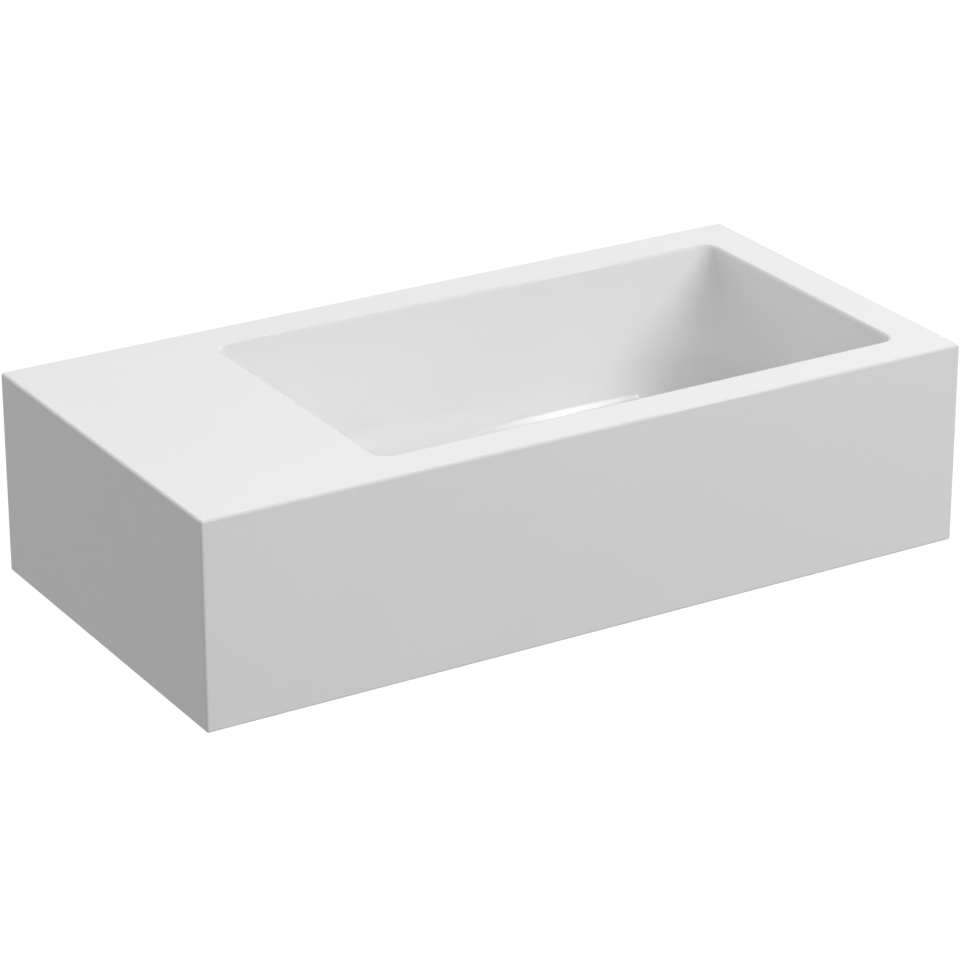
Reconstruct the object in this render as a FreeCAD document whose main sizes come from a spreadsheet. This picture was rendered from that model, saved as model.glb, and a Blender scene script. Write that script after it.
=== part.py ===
"""Wall-hung rectangular hand basin with an offset bowl, a free-running waste and keyhole hangers.

Millimetres. +X runs to the right along the front, +Y runs towards the wall and +Z is up. The origin is on
the wall plane, midway along the basin, at the height where the two wall screws carry it.
"""
import FreeCAD, Part
import math
import os
import re
import Sketcher

doc = FreeCAD.newDocument("HandBasin")
sheet = doc.addObject("Spreadsheet::Sheet", "Sizes")

# Driving dimensions: alias, value and what it measures
DRIVING = (
    ("body_length", 360, "basin block, left to right"),
    ("body_depth", 180, "basin block, front to wall"),
    ("body_height", 90, "basin block, underside to deck"),
    ("rim_width", 20, "flat rim in front of, behind and to the right of the bowl, and the back wall"),
    ("deck_length", 90, "bare deck to the left of the bowl"),
    ("outer_arris", 1.2, "rounding of the block's outer edges"),
    ("hang_drop", 30, "deck to the wall screws"),
    ("floor_thickness", 21, "underside to the edge of the bowl's floor"),
    ("bowl_lean", 2, "how far each bowl wall leans in from mouth to floor"),
    ("mouth_corner", 6, "corner radius of the bowl at the deck"),
    ("foot_corner", 41, "corner radius of the bowl's lower part"),
    ("foot_height", 20, "lower part of the bowl, whose corners are of one radius"),
    ("foot_fillet", 18, "rounding between bowl walls and floor"),
    ("mouth_arris", 1, "rounding of the bowl's upper edge"),
    ("dish_fall", 3, "fall of the bowl's floor to the waste"),
    ("dish_margin", 8, "level band between the floor rounding and the fall"),
    ("drain_margin", 1, "level edge round the waste's seat"),
    ("hollow_wall", 12, "walls round the hollow under the deck"),
    ("hollow_roof", 12, "deck thickness over the hollow"),
    ("hollow_corner", 9, "corner radius of the hollow"),
    ("hollow_bevel", 6, "bevel at the top of the hollow"),
    ("waste_hole_radius", 23, "hole for the waste"),
    ("seat_gap", 1, "flange to the wall of its seat"),
    ("nut_recess_radius", 42, "recess in the underside for the back nut"),
    ("nut_recess_depth", 5, "depth of that recess"),
    ("flange_radius", 31.5, "waste flange"),
    ("flange_edge", 1.8, "waste flange thickness"),
    ("flange_bevel", 0.8, "bevel on the flange's upper edge"),
    ("flange_sink", 0.2, "flange top below the floor around it"),
    ("throat_radius", 19.5, "mouth of the waste's funnel"),
    ("throat_depth", 4, "depth of the funnel"),
    ("bore_radius", 17.5, "bore of the waste"),
    ("tail_radius", 20.955, "outside of the waste's pipe thread"),
    ("top_gasket", 1, "thickness of the gasket under the flange"),
    ("bottom_gasket", 3, "thickness of the gasket under the basin"),
    ("gasket_radius", 30, "outside of the bottom gasket and slip ring"),
    ("gasket_gap", 0.3, "inside of the gaskets and slip ring to the thread"),
    ("slip_ring", 1.5, "thickness of the slip ring"),
    ("nut_flats", 52, "back nut across flats"),
    ("nut_height", 9, "back nut height"),
    ("nut_bevel", 3, "bevel on the back nut's corners"),
    ("thread_gap", 0.05, "running clearance of threads and sleeves, on radius"),
    ("nut_travel", 5.5, "thread between the back nut and the trap's nut"),
    ("trap_thread", 22, "thread for the trap"),
    ("tail_bevel", 1, "bevel at the end of the tail"),
    ("relief_width", 2, "groove between the two nuts' threads, height"),
    ("relief_depth", 1, "groove between the two nuts' threads, depth"),
    ("hub_radius", 7, "hub in the middle of the waste's spider"),
    ("hub_height", 9, "hub height"),
    ("hub_drop", 6, "hub top below the flange top"),
    ("arm_width", 3, "spider arm width"),
    ("arm_height", 6, "spider arm height"),
    ("arm_count", 4, "spider arms"),
    ("stem_radius", 4, "cover stem in the hub"),
    ("stem_gap", 0.08, "running clearance of the stem, on radius"),
    ("stem_reach", 3, "stem below the hub"),
    ("stem_bevel", 0.8, "bevel at the stem's end"),
    ("collar_radius", 6.5, "stem collar between the hub and the cover"),
    ("spigot_radius", 3, "stem thread in the cap"),
    ("spigot_length", 4.5, "stem thread length"),
    ("stem_groove", 1.2, "depth of the groove for the stem's ring"),
    ("stem_ring_height", 1.5, "height of the stem's square-cut rubber ring"),
    ("stem_ring_gap", 0.03, "stem's ring to the hub and to its groove"),
    ("cap_radius", 30, "waste cover"),
    ("cap_gap", 3.8, "cover above the flange"),
    ("cap_thickness", 3, "cover thickness"),
    ("cap_bevel", 0.8, "bevel on the cover's upper edge"),
    ("cap_boss_radius", 8, "boss under the cover"),
    ("cap_boss_height", 4, "boss height"),
    ("cap_hole_spare", 0.5, "depth left beyond the stem's thread"),
    ("hanger_inset", 60, "end of the block to the nearer wall screw"),
    ("plate_width", 40, "keyhole plate width"),
    ("plate_height", 64, "keyhole plate height"),
    ("plate_thickness", 2.5, "keyhole plate thickness"),
    ("plate_corner", 5, "keyhole plate corner radius"),
    ("plate_setback", 0.3, "keyhole plate below the wall face"),
    ("plate_fit", 0.3, "keyhole plate to the sides of its recess"),
    ("plate_rise", 21, "wall screw to the plate's upper edge"),
    ("slot_radius", 4.25, "half width of the keyhole's slot"),
    ("entry_radius", 8, "keyhole's entry"),
    ("slot_drop", 18, "slot end to the middle of the entry"),
    ("head_room", 9, "half width of the pocket for the wall screw's head"),
    ("head_pocket_depth", 7.2, "pocket behind the plate"),
    ("fixing_edge", 6, "plate screws to the plate's upper and lower edges"),
    ("screw_radius", 2, "plate screw"),
    ("screw_length", 11, "plate screw, overall"),
    ("screw_head_radius", 4, "plate screw head"),
    ("screw_socket_radius", 1.45, "plate screw socket, across corners, halved"),
    ("screw_socket_depth", 1.3, "plate screw socket depth"),
    ("screw_hole_gap", 0.25, "plate screw to its hole in the plate"),
    ("head_sink", 0.1, "plate screw head below the plate's face"),
    ("screw_spare", 0.5, "hole in the basin beyond the plate screw"),
    ("overrun", 5, "how far cuts run past what they cut"),
)

# Sizes and places that follow from the driving ones
WORKED_OUT = (
    ("bowl_length", "=body_length - deck_length - rim_width"),
    ("bowl_width", "=body_depth - 2 * rim_width"),
    ("underside", "=hang_drop - body_height"),
    ("floor_level", "=underside + floor_thickness"),
    ("bowl_depth", "=hang_drop - floor_level"),
    ("bowl_slope", "=bowl_lean / bowl_depth"),
    ("foot_top", "=floor_level + foot_height"),
    ("upper_depth", "=hang_drop - foot_top"),
    ("bowl_middle", "=(deck_length - rim_width) / 2"),
    ("basin_middle", "=-body_depth / 2"),
    ("dish_length", "=bowl_length - 2 * ( bowl_lean + foot_fillet + dish_margin )"),
    ("dish_width", "=bowl_width - 2 * ( bowl_lean + foot_fillet + dish_margin )"),
    ("seat_radius", "=flange_radius + seat_gap"),
    ("seat_depth", "=top_gasket + flange_edge + flange_sink"),
    ("seat_level", "=floor_level - dish_fall - seat_depth"),
    ("web", "=seat_level - underside - nut_recess_depth"),
    ("hollow_length", "=deck_length - 2 * hollow_wall"),
    ("hollow_width", "=body_depth - hollow_wall - rim_width"),
    ("hollow_height", "=body_height - hollow_roof"),
    ("flange_top", "=top_gasket + flange_edge"),
    ("hub_top", "=flange_top - hub_drop"),
    ("nut_top", "=-web - bottom_gasket - slip_ring"),
    ("relief_foot", "=nut_top - nut_height - nut_travel"),
    ("tail_end", "=relief_foot - trap_thread - tail_bevel"),
    ("cap_foot", "=flange_top + cap_gap"),
    ("cap_top", "=cap_foot + cap_thickness"),
    ("boss_foot", "=cap_foot - cap_boss_height"),
    ("hub_bore", "=stem_radius + stem_gap"),
    ("ring_level", "=hub_top - hub_height / 2"),
    ("ring_groove", "=stem_radius - stem_groove"),
    ("hanger_reach", "=body_length / 2 - hanger_inset"),
    ("plate_front", "=plate_setback + plate_thickness"),
    ("plate_middle", "=plate_rise - plate_height / 2"),
    ("fixing_reach", "=plate_height / 2 - fixing_edge"),
    ("fixing_depth", "=screw_length + head_sink + plate_setback + screw_spare - plate_front"),
    ("screw_hole", "=screw_radius + screw_hole_gap"),
)

ALIASES = {line[0] for line in DRIVING + WORKED_OUT}

QUARTER = math.pi / 2

# Depth down the bowl's upper part and growth of the corner radius there
BOWL_SECTION_SHARES = ((0, 0), (0.5, 0.62), (1, 1))


# Middle of each hanger, and its two plate screws above and below the plate's middle
SIDES = (("left", "-hanger_reach"), ("right", "hanger_reach"))
FIXING_ENDS = (("upper", "fixing_reach"), ("lower", "-fixing_reach"))


def fill_sheet():
    """Write both tables into the sheet, one row a value."""
    row = 0
    for alias, number, meaning in DRIVING:
        row += 1
        sheet.set(f"A{row}", alias)
        sheet.set(f"B{row}", str(number))
        sheet.set(f"C{row}", meaning)
        sheet.setAlias(f"B{row}", alias)
    for alias, formula in WORKED_OUT:
        row += 1
        sheet.set(f"A{row}", alias)
        sheet.set(f"B{row}", formula)
        sheet.setAlias(f"B{row}", alias)
        sheet.recompute()
    doc.recompute()


def of(formula):
    """The same formula with each alias looked up in the sheet."""
    return re.sub("[a-z_]+", lambda word: f"Sizes.{word[0]}" if word[0] in ALIASES else word[0], formula)


def amount(formula):
    """A formula's value."""
    return float(sheet.evalExpression(of(formula)))


def bind(thing, target, formula):
    """Tie a property to a formula of the sheet's values."""
    thing.setExpression(target, of(formula))


def new_body(name, x="0", y="0", z="0"):
    """A body with its label, placed by formulas."""
    body = doc.addObject("PartDesign::Body", name)
    body.Label = name
    for axis, formula in zip("xyz", (x, y, z)):
        bind(body, f"Placement.Base.{axis}", formula)
    return body


def own(body, role):
    """One of the body's own planes or axes."""
    return next(part for part in body.Origin.OriginFeatures if part.Role == role)


def attach(body, thing, plane, x="0", y="0", z="0"):
    """Lay a thing on one of the body's own planes, moved in that plane and along its normal."""
    thing.AttachmentSupport = (own(body, plane), "")
    thing.MapMode = "FlatFace"
    for axis, formula in zip("xyz", (x, y, z)):
        bind(thing, f"AttachmentOffset.Base.{axis}", formula)


def new_sketch(body, name, plane="XY_Plane", x="0", y="0", z="0"):
    """A sketch on one of the body's own planes."""
    sketch = body.newObject("Sketcher::SketchObject", name)
    attach(body, sketch, plane, x, y, z)
    return sketch


def pin_point(sketch, line, end, x, y):
    """Hold one end of a line at formulas for both coordinates."""
    for kind, formula in (("DistanceX", x), ("DistanceY", y)):
        number = sketch.addConstraint(Sketcher.Constraint(kind, -1, 1, line, end, amount(formula)))
        bind(sketch, f"Constraints[{number}]", formula)


def outline(sketch, corners):
    """A closed run of straight lines through corners given as formulas."""
    places = [FreeCAD.Vector(amount(x), amount(y), 0) for x, y in corners]
    following = places[1:] + places[:1]
    lines = [sketch.addGeometry(Part.LineSegment(a, b), False) for a, b in zip(places, following)]
    for line, joined in zip(lines, lines[1:] + lines[:1]):
        sketch.addConstraint(Sketcher.Constraint("Coincident", line, 2, joined, 1))
    for line, (x, y) in zip(lines, corners):
        pin_point(sketch, line, 1, x, y)


def circle(sketch, radius, x="0", y="0"):
    """A circle placed and sized by formulas."""
    middle = FreeCAD.Vector(amount(x), amount(y), 0)
    ring = sketch.addGeometry(Part.Circle(middle, FreeCAD.Vector(0, 0, 1), amount(radius)), False)
    pin_point(sketch, ring, 3, x, y)
    number = sketch.addConstraint(Sketcher.Constraint("Radius", ring, amount(radius)))
    bind(sketch, f"Constraints[{number}]", radius)


def rounded_rectangle(sketch, length, width, radius):
    """A rectangle with equal round corners about the sketch's origin."""
    half_length, half_width, corner = amount(length) / 2, amount(width) / 2, amount(radius)
    flat, tall = half_length - corner, half_width - corner
    up = FreeCAD.Vector(0, 0, 1)
    sides, corners = [], []
    for turn in range(4):
        swing = FreeCAD.Rotation(up, math.degrees(QUARTER * turn))
        along, across = (flat, half_width) if turn % 2 == 0 else (tall, half_length)
        start = swing.multVec(FreeCAD.Vector(along, across, 0))
        finish = swing.multVec(FreeCAD.Vector(-along, across, 0))
        sides.append(sketch.addGeometry(Part.LineSegment(start, finish), False))
        centre = swing.multVec(FreeCAD.Vector(-along, across - corner, 0))
        arc = Part.ArcOfCircle(Part.Circle(centre, up, corner), QUARTER * (turn + 1), QUARTER * (turn + 2))
        corners.append(sketch.addGeometry(arc, False))
    for turn in range(4):
        level = "Horizontal" if turn % 2 == 0 else "Vertical"
        sketch.addConstraint(Sketcher.Constraint(level, sides[turn]))
        sketch.addConstraint(Sketcher.Constraint("Tangent", sides[turn], 2, corners[turn], 1))
        sketch.addConstraint(Sketcher.Constraint("Tangent", corners[turn], 2, sides[(turn + 1) % 4], 1))
    for arc in corners[1:]:
        sketch.addConstraint(Sketcher.Constraint("Equal", corners[0], arc))
    sketch.addConstraint(Sketcher.Constraint("Symmetric", sides[0], 1, sides[2], 1, -1, 1))
    across = Sketcher.Constraint("DistanceX", sides[1], 1, sides[3], 1, amount(length))
    upright = Sketcher.Constraint("DistanceY", sides[2], 1, sides[0], 1, amount(width))
    round_off = Sketcher.Constraint("Radius", corners[0], amount(radius))
    for constraint, formula in ((across, length), (upright, width), (round_off, radius)):
        number = sketch.addConstraint(constraint)
        bind(sketch, f"Constraints[{number}]", formula)


def stadium(sketch, radius, drop):
    """A round-ended slot from the sketch's origin straight down."""
    half_width, run = amount(radius), amount(drop)
    up = FreeCAD.Vector(0, 0, 1)
    foot = FreeCAD.Vector(0, -run, 0)
    crown = Part.ArcOfCircle(Part.Circle(FreeCAD.Vector(), up, half_width), 0, 2 * QUARTER)
    bottom = Part.ArcOfCircle(Part.Circle(foot, up, half_width), 2 * QUARTER, 4 * QUARTER)
    top = sketch.addGeometry(crown, False)
    low = sketch.addGeometry(bottom, False)
    left = sketch.addGeometry(
        Part.LineSegment(FreeCAD.Vector(-half_width, 0, 0), FreeCAD.Vector(-half_width, -run, 0)), False)
    right = sketch.addGeometry(
        Part.LineSegment(FreeCAD.Vector(half_width, -run, 0), FreeCAD.Vector(half_width, 0, 0)), False)
    for first, last in ((top, left), (left, low), (low, right), (right, top)):
        sketch.addConstraint(Sketcher.Constraint("Tangent", first, 2, last, 1))
    sketch.addConstraint(Sketcher.Constraint("Coincident", top, 3, -1, 1))
    sketch.addConstraint(Sketcher.Constraint("Vertical", left))
    width = sketch.addConstraint(Sketcher.Constraint("Radius", top, half_width))
    bind(sketch, f"Constraints[{width}]", radius)
    length = sketch.addConstraint(Sketcher.Constraint("DistanceY", low, 3, top, 3, run))
    bind(sketch, f"Constraints[{length}]", drop)


def raise_solid(body, name, sketch, length):
    """Add the sketch's area, swept along its normal."""
    pad = body.newObject("PartDesign::Pad", name)
    pad.Profile = sketch
    bind(pad, "Length", length)
    doc.recompute()
    return pad


def sink(body, name, sketch, depth, with_normal=False):
    """Cut the sketch's area to a depth, and make sure that material goes."""
    before = body.Shape.Volume
    pocket = body.newObject("PartDesign::Pocket", name)
    pocket.Profile = sketch
    pocket.Reversed = with_normal
    bind(pocket, "Length", depth)
    doc.recompute()
    if not body.Shape.Volume < before:
        raise RuntimeError(f"{name} removes nothing")
    return pocket


def turn_solid(body, name, sketch):
    """Add a full turn of the sketch about its own upright axis."""
    revolution = body.newObject("PartDesign::Revolution", name)
    revolution.Profile = sketch
    revolution.ReferenceAxis = (sketch, ["V_Axis"])
    doc.recompute()
    return revolution


def turn_cut(body, name, sketch):
    """Cut a full turn of the sketch about its own upright axis."""
    before = body.Shape.Volume
    groove = body.newObject("PartDesign::Groove", name)
    groove.Profile = sketch
    groove.ReferenceAxis = (sketch, ["V_Axis"])
    doc.recompute()
    if not body.Shape.Volume < before:
        raise RuntimeError(f"{name} removes nothing")
    return groove


def edges_where(feature, test):
    """Names of the feature's edges that pass a test of their box."""
    named = enumerate(feature.Shape.Edges, start=1)
    return [f"Edge{number}" for number, edge in named if test(edge, edge.BoundBox)]


def ease(body, name, feature, test, radius):
    """Round the edges that pass the test."""
    fillet = body.newObject("PartDesign::Fillet", name)
    fillet.Base = (feature, edges_where(feature, test))
    bind(fillet, "Radius", radius)
    doc.recompute()
    return fillet


def on_level(level, near):
    """A test for edges that lie at one height."""
    return lambda edge, box: abs(box.ZMax - level) < near and abs(box.ZMin - level) < near


def basin_block(body):
    """The plain block, with its outer edges slightly rounded but for those that meet the wall."""
    sketch = new_sketch(body, "block_outline", y="basin_middle", z="underside")
    outline(sketch, (
        ("-body_length / 2", "-body_depth / 2"),
        ("body_length / 2", "-body_depth / 2"),
        ("body_length / 2", "body_depth / 2"),
        ("-body_length / 2", "body_depth / 2"),
    ))
    block = raise_solid(body, "block", sketch, "body_height")
    near = amount("outer_arris") / 2
    ease(body, "block_arris", block, lambda edge, box: box.YMin < -near, "outer_arris")


def bowl_upper(body):
    """The bowl's upper part: walls that lean in a little while their corners open out."""
    sections = []
    for number, (down_share, growth_share) in enumerate(BOWL_SECTION_SHARES):
        down = f"upper_depth * {down_share}"
        sketch = new_sketch(body, f"bowl_section_{number}", x="bowl_middle", y="basin_middle",
                            z=f"hang_drop - {down}")
        lean = f"2 * bowl_slope * {down}"
        radius = f"mouth_corner + ( foot_corner - mouth_corner ) * {growth_share}"
        rounded_rectangle(sketch, f"bowl_length - {lean}", f"bowl_width - {lean}", radius)
        sections.append(sketch)
    before = body.Shape.Volume
    hollow = body.newObject("PartDesign::SubtractiveLoft", "bowl_walls")
    hollow.Profile = sections[0]
    hollow.Sections = sections[1:]
    doc.recompute()
    if not body.Shape.Volume < before:
        raise RuntimeError("the bowl removes nothing")


def bowl_foot(body):
    """The bowl's lower part: the same leaning walls, with a generous round where they meet the floor."""
    sketch = new_sketch(body, "foot_outline", x="bowl_middle", y="basin_middle", z="foot_top")
    lean = "2 * bowl_slope * upper_depth"
    rounded_rectangle(sketch, f"bowl_length - {lean}", f"bowl_width - {lean}", "foot_corner")
    foot = sink(body, "foot", sketch, "foot_height")
    level = body.newObject("PartDesign::Plane", "foot_level")
    attach(body, level, "XY_Plane", z="foot_top")
    top, floor = amount("foot_top"), amount("floor_level")
    near = amount("mouth_arris") / 2

    boxes = [(f"Face{number}", face.BoundBox) for number, face in enumerate(foot.Shape.Faces, start=1)]
    walls = [name for name, box in boxes if abs(box.ZMax - top) < near and abs(box.ZMin - floor) < near]
    leaning = body.newObject("PartDesign::Draft", "foot_lean")
    leaning.Base = (foot, walls)
    leaning.NeutralPlane = (level, [""])
    bind(leaning, "Angle", "atan(bowl_slope)")
    doc.recompute()
    return ease(body, "foot_round", leaning, on_level(floor, near), "foot_fillet")


def bowl_rim(body, feature):
    """The small round where the bowl meets the deck."""
    near = amount("mouth_arris") / 2
    inside = amount("( body_length - rim_width ) / 2")
    at_deck = on_level(amount("hang_drop"), near)

    def on_mouth(edge, box):
        return at_deck(edge, box) and box.XMin > -inside and box.XMax < inside and box.YMax < -near

    ease(body, "bowl_mouth", feature, on_mouth, "mouth_arris")


def bowl_fall(body):
    """The falls in the bowl's floor that drain to the waste, like a shallow hipped roof upside down."""
    dish = body.newObject("PartDesign::SubtractiveWedge", "dish")
    attach(body, dish, "XZ_Plane", "bowl_middle", "floor_level", "-basin_middle")
    for target, formula in (
        ("Ymax", "0"),
        ("Ymin", "-dish_fall"),
        ("X2max", "dish_length / 2"),
        ("X2min", "-dish_length / 2"),
        ("Z2max", "dish_width / 2"),
        ("Z2min", "-dish_width / 2"),
        ("Xmax", "seat_radius + drain_margin"),
        ("Xmin", "-seat_radius - drain_margin"),
        ("Zmax", "seat_radius + drain_margin"),
        ("Zmin", "-seat_radius - drain_margin"),
    ):
        bind(dish, target, formula)
    before = body.Shape.Volume
    doc.recompute()
    if not body.Shape.Volume < before:
        raise RuntimeError("the dish removes nothing")


def waste_seat(body):
    """The seat for the flange, the hole through the floor and the recess for the back nut."""
    seat = new_sketch(body, "flange_seat_outline", x="bowl_middle", y="basin_middle",
                      z="floor_level - dish_fall")
    circle(seat, "seat_radius")
    sink(body, "flange_seat", seat, "seat_depth")
    hole = new_sketch(body, "waste_hole_outline", x="bowl_middle", y="basin_middle", z="seat_level + overrun")
    circle(hole, "waste_hole_radius")
    sink(body, "waste_hole", hole, "seat_level + 2 * overrun - underside")
    recess = new_sketch(body, "nut_recess_outline", x="bowl_middle", y="basin_middle", z="underside")
    circle(recess, "nut_recess_radius")
    sink(body, "nut_recess", recess, "nut_recess_depth", with_normal=True)


def deck_hollow(body):
    """The hollow under the bare deck, open below."""
    sketch = new_sketch(body, "hollow_outline", x="( deck_length - body_length ) / 2",
                        y="( hollow_wall - rim_width - body_depth ) / 2", z="underside")
    rounded_rectangle(sketch, "hollow_length", "hollow_width", "hollow_corner")
    hollow = sink(body, "hollow", sketch, "hollow_height", with_normal=True)
    on_roof = on_level(amount("underside + hollow_height"), amount("hollow_bevel") / 2)
    bevel = body.newObject("PartDesign::Chamfer", "hollow_roof_bevel")
    bevel.Base = (hollow, edges_where(hollow, on_roof))
    bind(bevel, "Size", "hollow_bevel")
    doc.recompute()


def hanger_seats(body):
    """At each wall screw, a seat for the plate, a pocket for the screw's head and two threaded holes."""
    for side, middle in SIDES:
        seat = new_sketch(body, f"plate_seat_outline_{side}", "XZ_Plane", x=middle, y="plate_middle")
        rounded_rectangle(seat, "plate_width + 2 * plate_fit", "plate_height + 2 * plate_fit",
                          "plate_corner + plate_fit")
        sink(body, f"plate_seat_{side}", seat, "plate_front", with_normal=True)
        pocket = new_sketch(body, f"head_pocket_outline_{side}", "XZ_Plane", x=middle, z="plate_front")
        stadium(pocket, "head_room", "slot_drop")
        sink(body, f"head_pocket_{side}", pocket, "head_pocket_depth", with_normal=True)
        holes = new_sketch(body, f"fixing_holes_outline_{side}", "XZ_Plane", x=middle, y="plate_middle",
                           z="plate_front")
        circle(holes, "screw_radius + thread_gap", y="fixing_reach")
        circle(holes, "screw_radius + thread_gap", y="-fixing_reach")
        sink(body, f"fixing_holes_{side}", holes, "fixing_depth", with_normal=True)


def basin_body():
    """The one-piece cast basin."""
    body = new_body("basin_body")
    basin_block(body)
    bowl_upper(body)
    bowl_rim(body, bowl_foot(body))
    bowl_fall(body)
    waste_seat(body)
    deck_hollow(body)
    hanger_seats(body)
    return body


def waste_body():
    """The waste: a flange with a funnel, a threaded tail and a four-armed spider that carries the cover."""
    body = new_body("waste_body", "bowl_middle", "basin_middle", "seat_level")
    profile = new_sketch(body, "waste_profile", "XZ_Plane")
    outline(profile, (
        ("flange_radius", "top_gasket"),
        ("flange_radius", "flange_top - flange_bevel"),
        ("flange_radius - flange_bevel", "flange_top"),
        ("throat_radius", "flange_top"),
        ("bore_radius", "flange_top - throat_depth"),
        ("bore_radius", "tail_end"),
        ("tail_radius - tail_bevel", "tail_end"),
        ("tail_radius", "tail_end + tail_bevel"),
        ("tail_radius", "relief_foot"),
        ("tail_radius - relief_depth", "relief_foot"),
        ("tail_radius - relief_depth", "relief_foot + relief_width"),
        ("tail_radius", "relief_foot + relief_width"),
        ("tail_radius", "top_gasket"),
    ))
    turn_solid(body, "waste_shell", profile)
    arm = new_sketch(body, "arm_outline", z="hub_top - ( hub_height - arm_height ) / 2 - arm_height")
    outline(arm, (
        ("hub_radius / 2", "-arm_width / 2"),
        ("( bore_radius + tail_radius ) / 2", "-arm_width / 2"),
        ("( bore_radius + tail_radius ) / 2", "arm_width / 2"),
        ("hub_radius / 2", "arm_width / 2"),
    ))
    first_arm = raise_solid(body, "arm", arm, "arm_height")
    arms = body.newObject("PartDesign::PolarPattern", "arms")
    arms.Originals = [first_arm]
    arms.Axis = (own(body, "Z_Axis"), [""])
    bind(arms, "Occurrences", "arm_count")
    body.Tip = arms
    doc.recompute()
    hub = new_sketch(body, "hub_outline", z="hub_top - hub_height")
    circle(hub, "hub_radius")
    raise_solid(body, "hub", hub, "hub_height")
    bore = new_sketch(body, "hub_bore_outline", z="hub_top + overrun")
    circle(bore, "hub_bore")
    sink(body, "hub_hole", bore, "hub_height + 2 * overrun")
    return body


def flat_ring(name, outer, inner, thickness, foot):
    """A flat ring about the waste's axis."""
    body = new_body(name, "bowl_middle", "basin_middle", f"seat_level {foot}")
    sketch = new_sketch(body, f"{name}_outline")
    circle(sketch, outer)
    circle(sketch, inner)
    raise_solid(body, f"{name}_ring", sketch, thickness)
    return body


def waste_back_nut():
    """The hexagonal nut that pulls the flange down, with bevelled lower corners."""
    body = new_body("waste_back_nut", "bowl_middle", "basin_middle", "seat_level + nut_top")
    sketch = new_sketch(body, "nut_outline", z="-nut_height")
    half_side = "nut_flats / 2 * tan(30deg)"
    tip = "nut_flats / 2 / cos(30deg)"
    corners = (
        (tip, "0"),
        (half_side, "nut_flats / 2"),
        (f"-{half_side}", "nut_flats / 2"),
        (f"-{tip}", "0"),
        (f"-{half_side}", "-nut_flats / 2"),
        (half_side, "-nut_flats / 2"),
    )
    outline(sketch, corners)
    circle(sketch, "tail_radius + thread_gap")
    raise_solid(body, "nut_prism", sketch, "nut_height")
    bevel = new_sketch(body, "nut_bevel_profile", "XZ_Plane")
    outline(bevel, (
        ("nut_flats / 2 - thread_gap", "-nut_height - overrun"),
        ("nut_flats / 2 - thread_gap", "-nut_height"),
        (f"{tip} + overrun", "-nut_height + nut_bevel + overrun * tan(30deg)"),
        (f"{tip} + overrun", "-nut_height - overrun"),
    ))
    turn_cut(body, "nut_corners", bevel)
    return body


def waste_cap():
    """The round cover over the waste: a bevelled disc with a threaded boss below."""
    body = new_body("waste_cap", "bowl_middle", "basin_middle", "seat_level")
    profile = new_sketch(body, "cap_profile", "XZ_Plane")
    outline(profile, (
        ("0", "boss_foot + spigot_length + cap_hole_spare"),
        ("spigot_radius + thread_gap", "boss_foot + spigot_length + cap_hole_spare"),
        ("spigot_radius + thread_gap", "boss_foot"),
        ("cap_boss_radius", "boss_foot"),
        ("cap_boss_radius", "cap_foot"),
        ("cap_radius", "cap_foot"),
        ("cap_radius", "cap_top - cap_bevel"),
        ("cap_radius - cap_bevel", "cap_top"),
        ("0", "cap_top"),
    ))
    turn_solid(body, "cap_disc", profile)
    return body


def waste_stem():
    """The stem under the cap: a thread, a collar that rests on the hub and a grooved peg in the bore."""
    body = new_body("waste_stem", "bowl_middle", "basin_middle", "seat_level")
    profile = new_sketch(body, "stem_profile", "XZ_Plane")
    groove_top = "ring_level + stem_ring_height / 2 + stem_ring_gap"
    groove_foot = "ring_level - stem_ring_height / 2 - stem_ring_gap"
    outline(profile, (
        ("0", "boss_foot + spigot_length"),
        ("spigot_radius", "boss_foot + spigot_length"),
        ("spigot_radius", "boss_foot"),
        ("collar_radius", "boss_foot"),
        ("collar_radius", "hub_top"),
        ("stem_radius", "hub_top"),
        ("stem_radius", groove_top),
        ("ring_groove", groove_top),
        ("ring_groove", groove_foot),
        ("stem_radius", groove_foot),
        ("stem_radius", "hub_top - hub_height - stem_reach + stem_bevel"),
        ("stem_radius - stem_bevel", "hub_top - hub_height - stem_reach"),
        ("0", "hub_top - hub_height - stem_reach"),
    ))
    turn_solid(body, "stem_turned", profile)
    return body


def hanger_plate(side, middle):
    """A stainless plate with a keyhole for one wall screw and two countersunk holes."""
    body = new_body(f"hanger_plate_{side}", middle)
    sketch = new_sketch(body, f"plate_outline_{side}", "XZ_Plane", y="plate_middle", z="plate_setback")
    rounded_rectangle(sketch, "plate_width", "plate_height", "plate_corner")
    raise_solid(body, f"plate_{side}", sketch, "plate_thickness")
    slot = new_sketch(body, f"slot_outline_{side}", "XZ_Plane")
    stadium(slot, "slot_radius", "slot_drop")
    sink(body, f"slot_{side}", slot, "plate_front + overrun", with_normal=True)
    entry = new_sketch(body, f"entry_outline_{side}", "XZ_Plane", y="-slot_drop")
    circle(entry, "entry_radius")
    sink(body, f"entry_{side}", entry, "plate_front + overrun", with_normal=True)
    for end, reach in FIXING_ENDS:
        sink_hole = new_sketch(body, f"{end}_countersink_{side}", "XY_Plane", z=f"plate_middle + {reach}")
        outline(sink_hole, (
            ("0", "overrun"),
            ("screw_head_radius + thread_gap + head_sink + plate_setback + overrun", "overrun"),
            ("screw_hole", "-plate_setback - head_sink - screw_head_radius - thread_gap + screw_hole"),
            ("screw_hole", "-plate_front - overrun"),
            ("0", "-plate_front - overrun"),
        ))
        turn_cut(body, f"{end}_screw_hole_{side}", sink_hole)
    return body


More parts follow.
